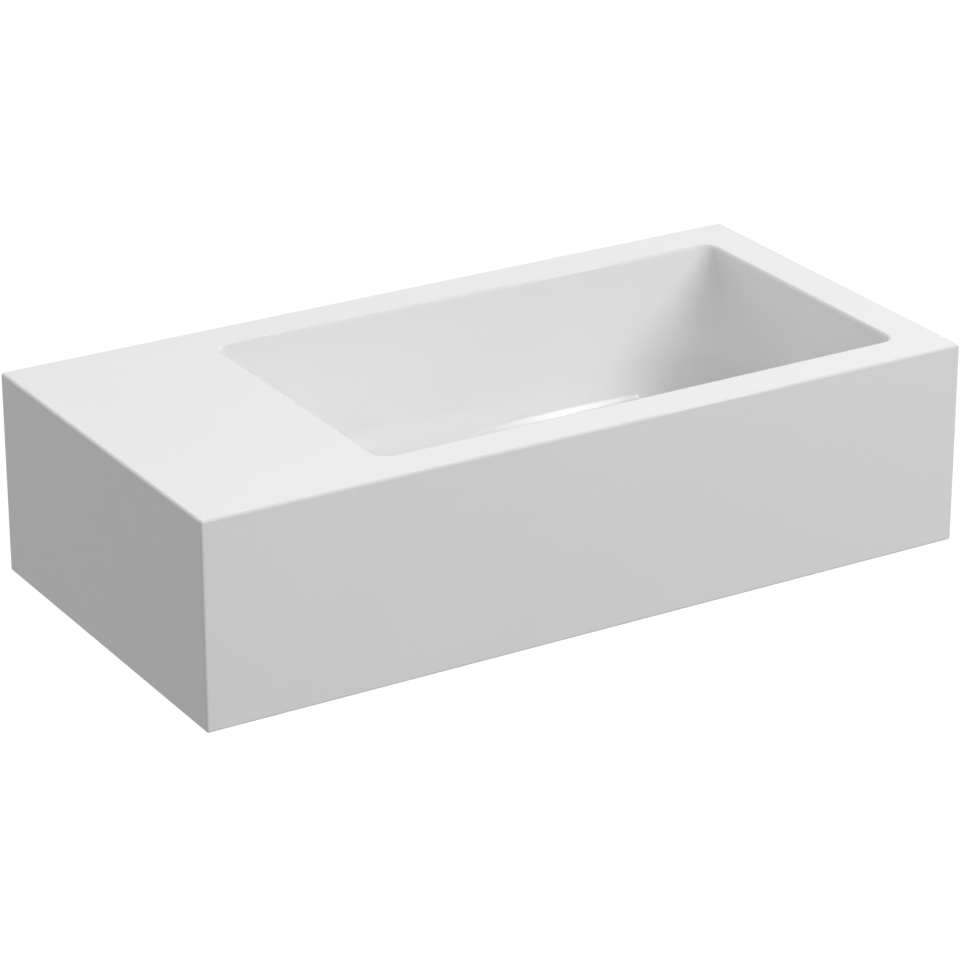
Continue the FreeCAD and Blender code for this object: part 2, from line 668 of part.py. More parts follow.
def screw_form():
    """One countersunk plate screw with a hexagonal socket, its axis along Y and its head at the origin."""
    body = new_body("plate_screw_form")
    profile = new_sketch(body, "screw_profile", "XY_Plane")
    outline(profile, (
        ("0", "0"),
        ("screw_head_radius", "0"),
        ("screw_radius", "screw_radius - screw_head_radius"),
        ("screw_radius", "-screw_length"),
        ("0", "-screw_length"),
    ))
    turn_solid(body, "screw_turned", profile)
    socket = new_sketch(body, "socket_outline", "XZ_Plane")
    half, tall = "screw_socket_radius / 2", "screw_socket_radius * cos(30deg)"
    outline(socket, (
        ("screw_socket_radius", "0"),
        (half, tall),
        (f"-{half}", tall),
        ("-screw_socket_radius", "0"),
        (f"-{half}", f"-{tall}"),
        (half, f"-{tall}"),
    ))
    sink(body, "socket", socket, "screw_socket_depth", with_normal=True)
    return body


def hanger_screws(form):
    """The same screw at the four fixing holes of the two plates, as one group of separate solids."""
    copies = []
    for side, middle in SIDES:
        for end, reach in FIXING_ENDS:
            copy = doc.addObject("App::Link", f"plate_screw_{side}_{end}")
            copy.LinkedObject = form
            bind(copy, "Placement.Base.x", middle)
            bind(copy, "Placement.Base.y", "-plate_setback - head_sink")
            bind(copy, "Placement.Base.z", f"plate_middle + {reach}")
            copies.append(copy)
    group = doc.addObject("Part::Compound", "hanger_screws")
    group.Label = "hanger_screws"
    group.Links = copies
    doc.recompute()
    return group


def make_parts():
    """Every sub-part, in the order in which the basin goes together."""
    return [
        basin_body(),
        flat_ring("waste_top_gasket", "flange_radius", "tail_radius + gasket_gap", "top_gasket", ""),
        waste_body(),
        flat_ring("waste_bottom_gasket", "gasket_radius", "tail_radius + gasket_gap", "bottom_gasket",
                  "- web - bottom_gasket"),
        flat_ring("waste_slip_ring", "gasket_radius", "tail_radius + gasket_gap", "slip_ring",
                  "- web - bottom_gasket - slip_ring"),
        waste_back_nut(),
        waste_stem(),
        flat_ring("waste_stem_ring", "hub_bore - stem_ring_gap", "ring_groove + stem_ring_gap",
                  "stem_ring_height", "+ ring_level - stem_ring_height / 2"),
        waste_cap(),
        *(hanger_plate(side, middle) for side, middle in SIDES),
        hanger_screws(screw_form()),
    ]


def write_parts(parts):
    """Check every object, then write one STEP file a sub-part."""
    for thing in doc.Objects:
        faults = {"Invalid", "Error"} & set(thing.State)
        if faults:
            raise RuntimeError(f"{thing.Name} is {faults}")
    for part in parts:
        if part.Shape.isNull() or not part.Shape.isValid():
            raise RuntimeError(f"{part.Label} has no valid shape")
    os.makedirs("parts", exist_ok=True)
    for part in parts:
        part.Shape.exportStep(f"parts/{part.Label}.step")
        box = part.Shape.BoundBox
        print(f"{part.Label}: {len(part.Shape.Solids)} solids, {part.Shape.Volume:.0f} mm3, "
              f"z {box.ZMin:.2f} to {box.ZMax:.2f}")


fill_sheet()
write_parts(make_parts())
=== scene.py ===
"""Dresses a small wall-hung hand basin: glazed cast body, free-running waste and keyhole hangers."""
import logging
import math
from dataclasses import dataclass, field
from enum import Enum

import bmesh
import bpy
from mathutils import Matrix, Vector


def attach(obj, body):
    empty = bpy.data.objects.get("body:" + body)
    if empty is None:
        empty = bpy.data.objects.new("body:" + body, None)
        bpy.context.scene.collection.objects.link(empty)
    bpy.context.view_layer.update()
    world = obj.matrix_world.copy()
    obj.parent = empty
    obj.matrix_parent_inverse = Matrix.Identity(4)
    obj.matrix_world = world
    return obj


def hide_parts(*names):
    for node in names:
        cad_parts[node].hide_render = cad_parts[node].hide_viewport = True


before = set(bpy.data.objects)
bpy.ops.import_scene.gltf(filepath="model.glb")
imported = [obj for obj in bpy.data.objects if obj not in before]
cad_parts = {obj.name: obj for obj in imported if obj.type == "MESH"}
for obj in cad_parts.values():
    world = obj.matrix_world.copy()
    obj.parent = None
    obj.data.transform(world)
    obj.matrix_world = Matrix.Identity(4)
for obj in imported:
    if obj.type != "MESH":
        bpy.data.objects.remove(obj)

logging.basicConfig(level=logging.INFO, format="%(levelname)s %(message)s")
LOG = logging.getLogger("hand_basin")

MM = 0.001
SLAB_CORNER_STEPS = 12
# In metres: points nearer to each other than this are one
TOUCHING = 1e-6
# How far from a surface, in millimetres, a face still counts as part of a cut or of an outer face,
# and from how far inside the outer faces it counts as within the casting
NEAR = 0.5
SKIN = 0.05
WITHIN = 2.0
# How far in from each face the middle point of a broken corner lies, as a share of the corner's width
CORNER_SHARE = 0.3
NORMAL_WEIGHT = 80


class Grain(Enum):
    """The small-scale surface of a finish."""

    GLAZE = "glaze"
    CAST = "cast"
    POLISHED = "polished"
    TURNED = "turned"
    BRUSHED = "brushed"
    MOULDED = "moulded"


# How fine the drift in gloss and the height pattern of each grain are
GLOSS_SCALE = {Grain.GLAZE: 14.0, Grain.CAST: 160.0, Grain.POLISHED: 60.0, Grain.TURNED: 90.0,
               Grain.BRUSHED: 90.0, Grain.MOULDED: 90.0}
RELIEF_SCALE = {Grain.GLAZE: 35.0, Grain.CAST: 1400.0, Grain.POLISHED: 400.0, Grain.MOULDED: 2500.0}
TURNING_SCALE = 1600.0
BRUSHING_SCALE = (6000.0, 6000.0, 60.0)
COAT_ROUGHNESS = 0.06
# The darkest that a colour drifts to, as a share of it
TINT_SHARE = 0.985
# Between these two values lies nearly all that a noise texture gives
NOISE_LOW, NOISE_HIGH = 0.3, 0.7


def variation_group() -> bpy.types.NodeTree:
    """Builds the shared effect of slow, soft variation over a surface.

    Returns:
        The node group, which gives a number between Low and High that drifts over the surface.
    """
    name = "soft_variation"
    if name in bpy.data.node_groups:
        return bpy.data.node_groups[name]
    tree = bpy.data.node_groups.new(name, "ShaderNodeTree")
    face = tree.interface
    face.new_socket("Vector", in_out="INPUT", socket_type="NodeSocketVector")
    for label, default in (("Scale", 20.0), ("Detail", 3.0), ("Low", 0.0), ("High", 1.0)):
        socket = face.new_socket(label, in_out="INPUT", socket_type="NodeSocketFloat")
        socket.default_value = default
    face.new_socket("Value", in_out="OUTPUT", socket_type="NodeSocketFloat")
    entry = tree.nodes.new("NodeGroupInput")
    leave = tree.nodes.new("NodeGroupOutput")
    noise = tree.nodes.new("ShaderNodeTexNoise")
    spread = tree.nodes.new("ShaderNodeMapRange")
    spread.inputs["From Min"].default_value = NOISE_LOW
    spread.inputs["From Max"].default_value = NOISE_HIGH
    tree.links.new(entry.outputs["Vector"], noise.inputs["Vector"])
    tree.links.new(entry.outputs["Scale"], noise.inputs["Scale"])
    tree.links.new(entry.outputs["Detail"], noise.inputs["Detail"])
    tree.links.new(noise.outputs["Fac"], spread.inputs["Value"])
    tree.links.new(entry.outputs["Low"], spread.inputs["To Min"])
    tree.links.new(entry.outputs["High"], spread.inputs["To Max"])
    tree.links.new(spread.outputs["Result"], leave.inputs["Value"])
    return tree


@dataclass(frozen=True)
class Finish:
    """One finish of the basin or its fittings.

    Attributes:
        name: the material's name.
        slot: the record's material slot that it stands for; not used.
        colour: linear base colour.
        smooth: roughness where the surface is smoothest.
        rough: roughness where it is dullest.
        metallic: 1 for metals.
        coat: weight of the clear glaze over it.
        grain: its small-scale surface.
        relief: height of that grain, in metres.
        middle: centre of a turned pattern.
    """

    name: str
    slot: str
    colour: tuple[float, float, float]
    smooth: float
    rough: float
    metallic: float = 0.0
    coat: float = 0.0
    grain: Grain = Grain.MOULDED
    relief: float = 0.00002
    middle: tuple[float, float, float] = (0.0, 0.0, 0.0)

    def material(self) -> bpy.types.Material:
        """Builds the material, or gives the one already built.

        Returns:
            The material, which all pieces in this finish share.
        """
        if self.name in bpy.data.materials:
            return bpy.data.materials[self.name]
        made = bpy.data.materials.new(self.name)
        made.use_nodes = True
        made.diffuse_color = (*self.colour, 1.0)
        tree = made.node_tree
        shader = tree.nodes["Principled BSDF"]
        shader.inputs["Metallic"].default_value = self.metallic
        shader.inputs["Coat Weight"].default_value = self.coat
        shader.inputs["Coat Roughness"].default_value = COAT_ROUGHNESS
        place = tree.nodes.new("ShaderNodeTexCoord")
        centre = tree.nodes.new("ShaderNodeMapping")
        centre.inputs["Location"].default_value = [-step for step in self.middle]
        tree.links.new(place.outputs["Object"], centre.inputs["Vector"])
        self._tint(tree, shader, centre)
        self._gloss(tree, shader, centre)
        self._relieve(tree, shader, centre)
        return made

    def _tint(self, tree: bpy.types.NodeTree, shader: bpy.types.Node, centre: bpy.types.Node) -> None:
        """Lets the colour drift a little, as it does on a real casting or plating.

        Args:
            tree: the material's nodes.
            shader: its main shader.
            centre: the node that gives places from the finish's middle.
        """
        drift = self._variation(tree, centre, scale=9.0, detail=2.0, low=0.0, high=1.0)
        mix = tree.nodes.new("ShaderNodeMix")
        mix.data_type = "RGBA"
        mix.inputs["A"].default_value = (*[TINT_SHARE * part for part in self.colour], 1.0)
        mix.inputs["B"].default_value = (*self.colour, 1.0)
        tree.links.new(drift.outputs["Value"], mix.inputs["Factor"])
        tree.links.new(mix.outputs["Result"], shader.inputs["Base Color"])

    def _gloss(self, tree: bpy.types.NodeTree, shader: bpy.types.Node, centre: bpy.types.Node) -> None:
        """Varies the roughness between its two ends.

        Args:
            tree: the material's nodes.
            shader: its main shader.
            centre: the node that gives places from the finish's middle.
        """
        gloss = self._variation(tree, centre, scale=GLOSS_SCALE[self.grain], detail=4.0, low=self.smooth,
                                high=self.rough)
        tree.links.new(gloss.outputs["Value"], shader.inputs["Roughness"])

    def _relieve(self, tree: bpy.types.NodeTree, shader: bpy.types.Node, centre: bpy.types.Node) -> None:
        """Adds the grain's height through a bump.

        Args:
            tree: the material's nodes.
            shader: its main shader.
            centre: the node that gives places from the finish's middle.
        """
        height = self._height(tree, centre)
        bump = tree.nodes.new("ShaderNodeBump")
        bump.inputs["Distance"].default_value = self.relief
        bump.inputs["Strength"].default_value = 1.0
        tree.links.new(height, bump.inputs["Height"])
        tree.links.new(bump.outputs["Normal"], shader.inputs["Normal"])

    def _height(self, tree: bpy.types.NodeTree, centre: bpy.types.Node) -> bpy.types.NodeSocket:
        """Makes the grain's height pattern.

        Args:
            tree: the material's nodes.
            centre: the node that gives places from the finish's middle.

        Returns:
            The socket that gives the height.
        """
        if self.grain is Grain.TURNED:
            rings = tree.nodes.new("ShaderNodeTexWave")
            rings.wave_type = "RINGS"
            rings.rings_direction = "Z"
            rings.inputs["Scale"].default_value = TURNING_SCALE
            rings.inputs["Distortion"].default_value = 0.4
            tree.links.new(centre.outputs["Vector"], rings.inputs["Vector"])
            return rings.outputs["Fac"]
        if self.grain is Grain.BRUSHED:
            stretch = tree.nodes.new("ShaderNodeMapping")
            stretch.inputs["Scale"].default_value = BRUSHING_SCALE
            noise = tree.nodes.new("ShaderNodeTexNoise")
            noise.inputs["Scale"].default_value = 1.0
            tree.links.new(centre.outputs["Vector"], stretch.inputs["Vector"])
            tree.links.new(stretch.outputs["Vector"], noise.inputs["Vector"])
            return noise.outputs["Fac"]
        pattern = self._variation(tree, centre, scale=RELIEF_SCALE[self.grain], detail=2.0, low=0.0,
                                  high=1.0)
        return pattern.outputs["Value"]

    @staticmethod
    def _variation(tree: bpy.types.NodeTree, centre: bpy.types.Node, scale: float, detail: float,
                   low: float, high: float) -> bpy.types.Node:
        """Places the shared variation group with its own values.

        Args:
            tree: the material's nodes.
            centre: the node that gives places from the finish's middle.
            scale: how fine the drift is.
            detail: how much finer drift it carries.
            low: its lowest value.
            high: its highest value.

        Returns:
            The group's node.
        """
        node = tree.nodes.new("ShaderNodeGroup")
        node.node_tree = variation_group()
        tree.links.new(centre.outputs["Vector"], node.inputs["Vector"])
        for label, value in (("Scale", scale), ("Detail", detail), ("Low", low), ("High", high)):
            node.inputs[label].default_value = value
        return node


DRAIN_AXIS = (35.0, -90.0)
DRAIN = (DRAIN_AXIS[0] * MM, DRAIN_AXIS[1] * MM, 0.0)
GLAZED_WHITE = Finish("glazed_white", "basin_white", (0.9, 0.9, 0.902), 0.07, 0.11, coat=0.3,
                      grain=Grain.GLAZE, relief=0.00003)
RAW_CAST = Finish("raw_cast", "basin_white", (0.74, 0.735, 0.72), 0.62, 0.8, grain=Grain.CAST,
                  relief=0.00012)
CHROME = Finish("waste_chrome", "waste_chrome", (0.66, 0.67, 0.68), 0.04, 0.08, metallic=1.0,
                grain=Grain.POLISHED, relief=0.000001, middle=DRAIN)
BRASS = Finish("nut_brass", "nut_brass", (0.78, 0.56, 0.26), 0.22, 0.36, metallic=1.0, grain=Grain.TURNED,
               relief=0.00001, middle=DRAIN)
STEEL = Finish("plate_steel", "plate_steel", (0.7, 0.7, 0.71), 0.28, 0.4, metallic=1.0, grain=Grain.BRUSHED,
               relief=0.00001)
RUBBER = Finish("gasket_rubber", "gasket_rubber", (0.03, 0.03, 0.032), 0.6, 0.75, relief=0.00003)
NYLON = Finish("slip_ring_nylon", "slip_ring_plastic", (0.78, 0.77, 0.73), 0.35, 0.5)


def new_object(name: str, form: bmesh.types.BMesh) -> bpy.types.Object:
    """Turns a bmesh into an object at the origin.

    Args:
        name: the piece's name.
        form: the shape, freed here.

    Returns:
        The object, linked to the scene.
    """
    mesh = bpy.data.meshes.new(name)
    form.to_mesh(mesh)
    form.free()
    piece = bpy.data.objects.new(name, mesh)
    bpy.context.scene.collection.objects.link(piece)
    return piece


def settle(piece: bpy.types.Object) -> None:
    """Applies a piece's modifiers to its mesh.

    Args:
        piece: the object, left without modifiers.
    """
    bpy.context.view_layer.update()
    graph = bpy.context.evaluated_depsgraph_get()
    finished = bpy.data.meshes.new_from_object(piece.evaluated_get(graph))
    piece.modifiers.clear()
    piece.data = finished


def shade(piece: bpy.types.Object, sharp_from: float = 35.0) -> None:
    """Shades a piece smoothly but for its sharp edges.

    Args:
        piece: the mesh object.
        sharp_from: the angle in degrees from which an edge stays sharp.
    """
    piece.data.shade_smooth()
    piece.data.set_sharp_from_angle(angle=math.radians(sharp_from))
    even = piece.modifiers.new("even_normals", "WEIGHTED_NORMAL")
    even.keep_sharp = True
    even.weight = NORMAL_WEIGHT


def wear(piece: bpy.types.Object, finish: Finish, body: str, node: str) -> None:
    """Gives a piece its finish and its place in the model.

    Args:
        piece: the object.
        finish: its finish.
        body: the moving body that it rides on.
        node: the solid that it stands for.
    """
    piece.data.materials.clear()
    piece.data.materials.append(finish.material())
    hand_over(piece, body, node)


def hand_over(piece: bpy.types.Object, body: str, node: str) -> None:
    """Tells the frame what a piece rides on and stands for, and logs it.

    Args:
        piece: the object, already dressed.
        body: the moving body that it rides on.
        node: the solid that it stands for.
    """
    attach(piece, body)
    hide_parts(node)
    LOG.info("%s: %d faces, rides on %s", piece.name, len(piece.data.polygons), body)


def rounded_ring(form: bmesh.types.BMesh, size: tuple[float, float], radius: float, level: float,
                 middle: tuple[float, float], segments: int) -> list[bmesh.types.BMEdge]:
    """Lays a level rounded rectangle into a bmesh, by rounding the corners of a plain one.

    Args:
        form: the bmesh to add to.
        size: size along X and Y, in millimetres as all else here.
        radius: corner radius.
        level: height.
        middle: centre, X and Y.
        segments: steps round each corner.

    Returns:
        The ring's edges.
    """
    length, width = (part * MM for part in size)
    middle_x, middle_y = (part * MM for part in middle)
    corners = [form.verts.new((middle_x + x * length / 2, middle_y + y * width / 2, level * MM))
               for x, y in ((1, 1), (-1, 1), (-1, -1), (1, -1))]
    form.faces.new(corners)
    bmesh.ops.bevel(form, geom=corners, offset=radius * MM, offset_type="OFFSET", segments=segments,
                    profile=0.5, affect="VERTICES", material=-1)
    form.faces.ensure_lookup_table()
    face = form.faces[-1]
    edges = list(face.edges)
    bmesh.ops.delete(form, geom=[face], context="FACES_ONLY")
    return edges


def walled(name: str, form: bmesh.types.BMesh, rings: list[list[bmesh.types.BMEdge]]) -> bpy.types.Object:
    """Makes a solid of a stack of rings.

    Args:
        name: the solid's name.
        form: the bmesh that holds the rings, freed here.
        rings: the edges of each ring, from one end to the other.

    Returns:
        The solid, its two ends closed with flat faces.
    """
    for upper, lower in zip(rings, rings[1:]):
        bmesh.ops.bridge_loops(form, edges=upper + lower)
    for end in (rings[0], rings[-1]):
        bmesh.ops.contextual_create(form, geom=end)
    bmesh.ops.recalc_face_normals(form, faces=form.faces)
    return new_object(name, form)


def upright_slab(name: str, place: tuple[float, float], size: tuple[float, float], radius: float,
                 span: tuple[float, float]) -> bpy.types.Object:
    """Makes a slab parallel to the wall with rounded corners, in millimetres.

    Args:
        name: the slab's name.
        place: its middle, X and Z.
        size: its size along X and Z.
        radius: its corner radius.
        span: Y of its two faces, that nearer the wall first.

    Returns:
        The slab.
    """
    form = bmesh.new()
    edges = rounded_ring(form, size, radius, 0.0, (0.0, 0.0), SLAB_CORNER_STEPS)
    bmesh.ops.contextual_create(form, geom=edges)
    grown = bmesh.ops.extrude_face_region(form, geom=list(form.faces))
    verts = [part for part in grown["geom"] if isinstance(part, bmesh.types.BMVert)]
    bmesh.ops.translate(form, verts=verts, vec=(0, 0, (span[0] - span[1]) * MM))
    place_at = Matrix.Translation((place[0] * MM, span[0] * MM, place[1] * MM))
    bmesh.ops.transform(form, matrix=place_at @ Matrix.Rotation(math.pi / 2, 4, "X"), verts=form.verts)
    bmesh.ops.recalc_face_normals(form, faces=form.faces)
    return new_object(name, form)


@dataclass(frozen=True)
class HangerPlan:
    """Sizes and places that the keyhole plates share with their recesses, in millimetres.

    Attributes:
        reach: middle of the basin to each wall screw.
        size: the plate along X and Z.
        corner: its corner radius.
        middle: height of its middle.
        back: Y of its face at the wall.
        front: Y of its other face.
        drop: wall screw down to the middle of the keyhole's entry.
        fixing: plate's middle to each of its two screws.
    """

    reach: float = 120.0
    size: tuple[float, float] = (40.0, 64.0)
    corner: float = 5.0
    middle: float = -11.0
    back: float = -0.3
    front: float = -2.8
    drop: float = 18.0
    fixing: float = 26.0

    def sides(self) -> tuple[tuple[str, float], ...]:
        """Name and X of each hanger."""
        return ("left", -self.reach), ("right", self.reach)

    def fixings(self) -> tuple[tuple[str, float], ...]:
        """Name and height of each plate screw."""
        return ("upper", self.middle + self.fixing), ("lower", self.middle - self.fixing)


@dataclass
class CastBasin:
    """The one-piece cast body: block, bowl, falls, waste seat, deck hollow and hanger recesses.

    Sizes are in millimetres and levels are heights in the basin's frame.
    """

    length: float = 360.0
    depth: float = 180.0
    deck_level: float = 30.0
    underside: float = -60.0
    rim: float = 20.0
    deck_length: float = 90.0
    arris: float = 1.2
    arris_steps: int = 5
    wall_arris: float = 0.3
    wall_arris_steps: int = 2
    overrun: float = 5.0
    mouth_arris: float = 1.7
    mouth_steps: int = 6
    lean: float = 2.0
    bowl_depth: float = 69.0
    foot_radius: float = 18.0
    foot_steps: int = 14
    # Height above the underside and corner radius of the bowl there
    corners: tuple[tuple[float, float], ...] = (
        (90.0, 6.0), (88.0, 7.0), (86.0, 8.5), (83.0, 11.2), (80.0, 14.0), (77.5, 16.5), (75.0, 19.0),
        (72.5, 21.5), (70.0, 23.8), (67.5, 26.0), (65.0, 28.0), (62.5, 30.0), (60.0, 31.8), (57.5, 33.5),
        (55.0, 35.1), (52.5, 36.5), (50.0, 37.8), (47.5, 39.0), (45.0, 40.0), (42.5, 40.7), (40.0, 41.0),
    )
    corner_steps: int = 24
    floor_margin: float = 8.0
    fall: float = 3.0
    fall_straight: float = 0.65
    fall_corner: float = 15.0
    fall_shares: tuple[float, ...] = (0.01, 0.04, 0.12, 0.3, 0.55, 0.8, 1.0)
    drain_margin: float = 1.5
    # Half the short straight left between two corners that all but meet
    drain_straight: float = 0.5
    seat_radius: float = 32.5
    seat_depth: float = 3.0
    seat_break: float = 0.4
    hole_radius: float = 23.0
    recess_radius: float = 42.0
    recess_depth: float = 5.0
    recess_corner: float = 1.0
    recess_break: float = 0.5
    seat_steps: int = 96
    hollow_wall: float = 12.0
    hollow_roof: float = 12.0
    hollow_round: float = 6.0
    hollow_corner: float = 9.0
    hollow_break: float = 0.8
    hollow_steps: int = 8
    hollow_corner_steps: int = 10
    plan: HangerPlan = HangerPlan()
    plate_fit: float = 0.3
    head_room: float = 9.0
    pocket_straight: float = 0.01
    pocket_foot: float = -10.0
    fixing_width: float = 4.1
    fixing_straight: float = 0.001
    fixing_foot: float = -11.9
    middle: tuple[float, float] = field(init=False)
    mouth: tuple[float, float] = field(init=False)
    floor: float = field(init=False)
    ledge: float = field(init=False)

    def __post_init__(self) -> None:
        """Works out the bowl's middle and mouth and the levels of its floor and of the waste's seat."""
        self.middle = ((self.deck_length - self.rim) / 2, -self.depth / 2)
        self.mouth = (self.length - self.deck_length - self.rim, self.depth - 2 * self.rim)
        self.floor = self.deck_level - self.bowl_depth
        self.ledge = self.floor - self.fall - self.seat_depth

    def build(self) -> bpy.types.Object:
        """Makes the whole casting.

        Returns:
            The finished piece.
        """
        block = self._block()
        cutters = [self._bowl_plug(), self._seat_plug(), self._hollow_plug(), *self._hanger_plugs()]
        combine(block, "DIFFERENCE", *cutters)
        self._dress(block)
        shade(block, sharp_from=32.0)
        return block

    def _block(self) -> bpy.types.Object:
        """Makes the plain block, its outer edges rounded and those at the wall only broken.

        Returns:
            The block.
        """
        form = bmesh.new()
        height = self.deck_level - self.underside
        size = Matrix.Diagonal((self.length * MM, self.depth * MM, height * MM, 1))
        place = Matrix.Translation((0, -self.depth / 2 * MM, (self.deck_level + self.underside) / 2 * MM))
        bmesh.ops.create_cube(form, size=1.0, matrix=place @ size)
        outer = [edge for edge in form.edges if min(vert.co.y for vert in edge.verts) < -self.arris * MM]
        bmesh.ops.bevel(form, geom=outer, offset=self.arris * MM, offset_type="OFFSET",
                        segments=self.arris_steps, profile=0.5, affect="EDGES", material=-1)
        form.normal_update()
        back = [edge for edge in form.edges if all(vert.co.y > -TOUCHING for vert in edge.verts)]
        bmesh.ops.bevel(form, geom=back, offset=self.wall_arris * MM, offset_type="OFFSET",
                        segments=self.wall_arris_steps, profile=0.5, affect="EDGES", material=-1)
        bmesh.ops.recalc_face_normals(form, faces=form.faces)
        return new_object("cast_basin", form)

    def _wall_inset(self, level: float) -> float:
        """How far the leaning wall stands in from the bowl's mouth at a level."""
        return self.lean * (self.deck_level - level) / self.bowl_depth

    def _wall_rings(self) -> list[tuple[float, float, float]]:
        """Plans the rings from above the deck down the walls.

        Returns:
            Level, inset from the mouth and corner radius of each ring.
        """
        (top, tight), (lower, wider) = self.corners[:2]
        rings = [(self.deck_level + self.overrun, -self.mouth_arris, tight + self.mouth_arris)]
        for step in range(self.mouth_steps + 1):
            turn = math.radians(90 * step / self.mouth_steps)
            inset = -self.mouth_arris * (1 - math.sin(turn))
            drop = self.mouth_arris * (1 - math.cos(turn))
            corner = tight + (wider - tight) * drop / (top - lower)
            rings.append((self.deck_level - drop, inset, corner - inset))
        for height, radius in self.corners[1:]:
            level = self.underside + height
            rings.append((level, self._wall_inset(level), radius))
        return rings

    def _foot_rings(self) -> list[tuple[float, float, float]]:
        """Plans the rings of the rounding between the walls and the floor.

        Returns:
            Level, inset from the mouth and corner radius of each ring.
        """
        tilt = math.atan(self.lean / self.bowl_depth)
        centre = self.floor + self.foot_radius
        reach = self._wall_inset(centre) + self.foot_radius / math.cos(tilt)
        top = centre - self.foot_radius * math.sin(tilt)
        joint, corner = self._wall_inset(top), self.corners[-1][1]
        rings = [(top, joint, corner)]
        for step in range(1, self.foot_steps + 1):
            turn = tilt + (math.pi / 2 - tilt) * step / self.foot_steps
            inset = reach - self.foot_radius * math.cos(turn)
            rings.append((centre - self.foot_radius * math.sin(turn), inset, corner - (inset - joint)))
        return rings

    def _bowl_plug(self) -> bpy.types.Object:
        """Makes the space of the bowl, down to the foot of its falls.

        Returns:
            The space as a solid.
        """
        form = bmesh.new()
        sides = self._wall_rings() + self._foot_rings()
        rings = []
        for level, inset, radius in sides:
            size = tuple(part - 2 * inset for part in self.mouth)
            rings.append(rounded_ring(form, size, radius, level, self.middle, self.corner_steps))
        edge = tuple(part - 2 * sides[-1][1] - 2 * self.floor_margin for part in self.mouth)
        drain = 2 * (self.seat_radius + self.drain_margin)
        drain_corner = drain / 2 - self.drain_straight
        for share in self.fall_shares:
            blend = 3 * share ** 2 - 2 * share ** 3
            drop = self.fall * ((1 - self.fall_straight) * blend + self.fall_straight * share)
            size = tuple(part + (drain - part) * share for part in edge)
            radius = self.fall_corner + (drain_corner - self.fall_corner) * share
            rings.append(rounded_ring(form, size, radius, self.floor - drop, self.middle,
                                      self.corner_steps))
        return walled("bowl_plug", form, rings)

    def _seat_plug(self) -> bpy.types.Object:
        """Turns the seat of the flange, the hole below it and the recess for the nut.

        Returns:
            The space as one solid.
        """
        above, roof = self.floor - self.fall + self.overrun, self.underside + self.recess_depth
        seat, hole, recess = self.seat_radius, self.hole_radius, self.recess_radius
        broken, wide, corner = self.seat_break, self.recess_break, self.recess_corner
        near = corner * CORNER_SHARE
        profile = ((0, above), (seat, above), (seat, self.ledge + broken), (seat - broken, self.ledge),
                   (hole + broken, self.ledge), (hole, self.ledge - broken), (hole, roof + broken),
                   (hole + broken, roof), (recess - corner, roof), (recess - near, roof - near),
                   (recess, roof - corner), (recess, self.underside + wide),
                   (recess + wide, self.underside), (recess + wide, self.underside - self.overrun),
                   (0, self.underside - self.overrun))
        return turned("seat_plug", profile, self.middle, self.seat_steps)

    def _hollow_plug(self) -> bpy.types.Object:
        """Makes the space under the bare deck.

        Returns:
            The space as a solid.
        """
        length = self.deck_length - 2 * self.hollow_wall
        width = self.depth - self.hollow_wall - self.rim
        middle = ((self.deck_length - self.length) / 2, (self.hollow_wall - self.rim - self.depth) / 2)
        broken, roof = self.hollow_break, self.deck_level - self.hollow_roof
        levels = [(self.underside - self.overrun, -broken), (self.underside, -broken),
                  (self.underside + broken, 0.0)]
        for step in range(self.hollow_steps + 1):
            turn = math.pi / 2 * step / self.hollow_steps
            levels.append((roof - self.hollow_round * (1 - math.sin(turn)),
                           self.hollow_round * (1 - math.cos(turn))))
        form = bmesh.new()
        rings = []
        for level, inset in levels:
            size = (length - 2 * inset, width - 2 * inset)
            rings.append(rounded_ring(form, size, self.hollow_corner - inset, level, middle,
                                      self.hollow_corner_steps))
        return walled("hollow_plug", form, rings)

    def _hanger_plugs(self) -> list[bpy.types.Object]:
        """Makes the recesses in the back for the plates, the wall screws' heads and the plate screws.

        Returns:
            The spaces as solids.
        """
        plan, room, bore = self.plan, 2 * self.head_room, self.fixing_width
        seat = tuple(part + 2 * self.plate_fit for part in plan.size)
        seat_corner = plan.corner + self.plate_fit
        pocket_corner = self.head_room - self.pocket_straight
        fixing_corner = bore / 2 - self.fixing_straight
        plugs = []
        for side, across in plan.sides():
            plugs.append(upright_slab(f"seat_{side}", (across, plan.middle), seat, seat_corner,
                                      (self.overrun, plan.front)))
            plugs.append(upright_slab(f"pocket_{side}", (across, -plan.drop / 2), (room, room + plan.drop),
                                      pocket_corner, (self.overrun, self.pocket_foot)))
            for end, height in plan.fixings():
                plugs.append(upright_slab(f"fixing_{side}_{end}", (across, height), (bore, bore),
                                          fixing_corner, (self.overrun, self.fixing_foot)))
        return plugs

    def _dress(self, block: bpy.types.Object) -> None:
        """Glazes what shows and leaves the back, the underside and the hollows raw.

        Args:
            block: the casting.
        """
        mesh = block.data
        mesh.materials.clear()
        mesh.materials.append(GLAZED_WHITE.material())
        mesh.materials.append(RAW_CAST.material())
        for face in mesh.polygons:
            face.material_index = int(self._is_raw(face.center / MM))

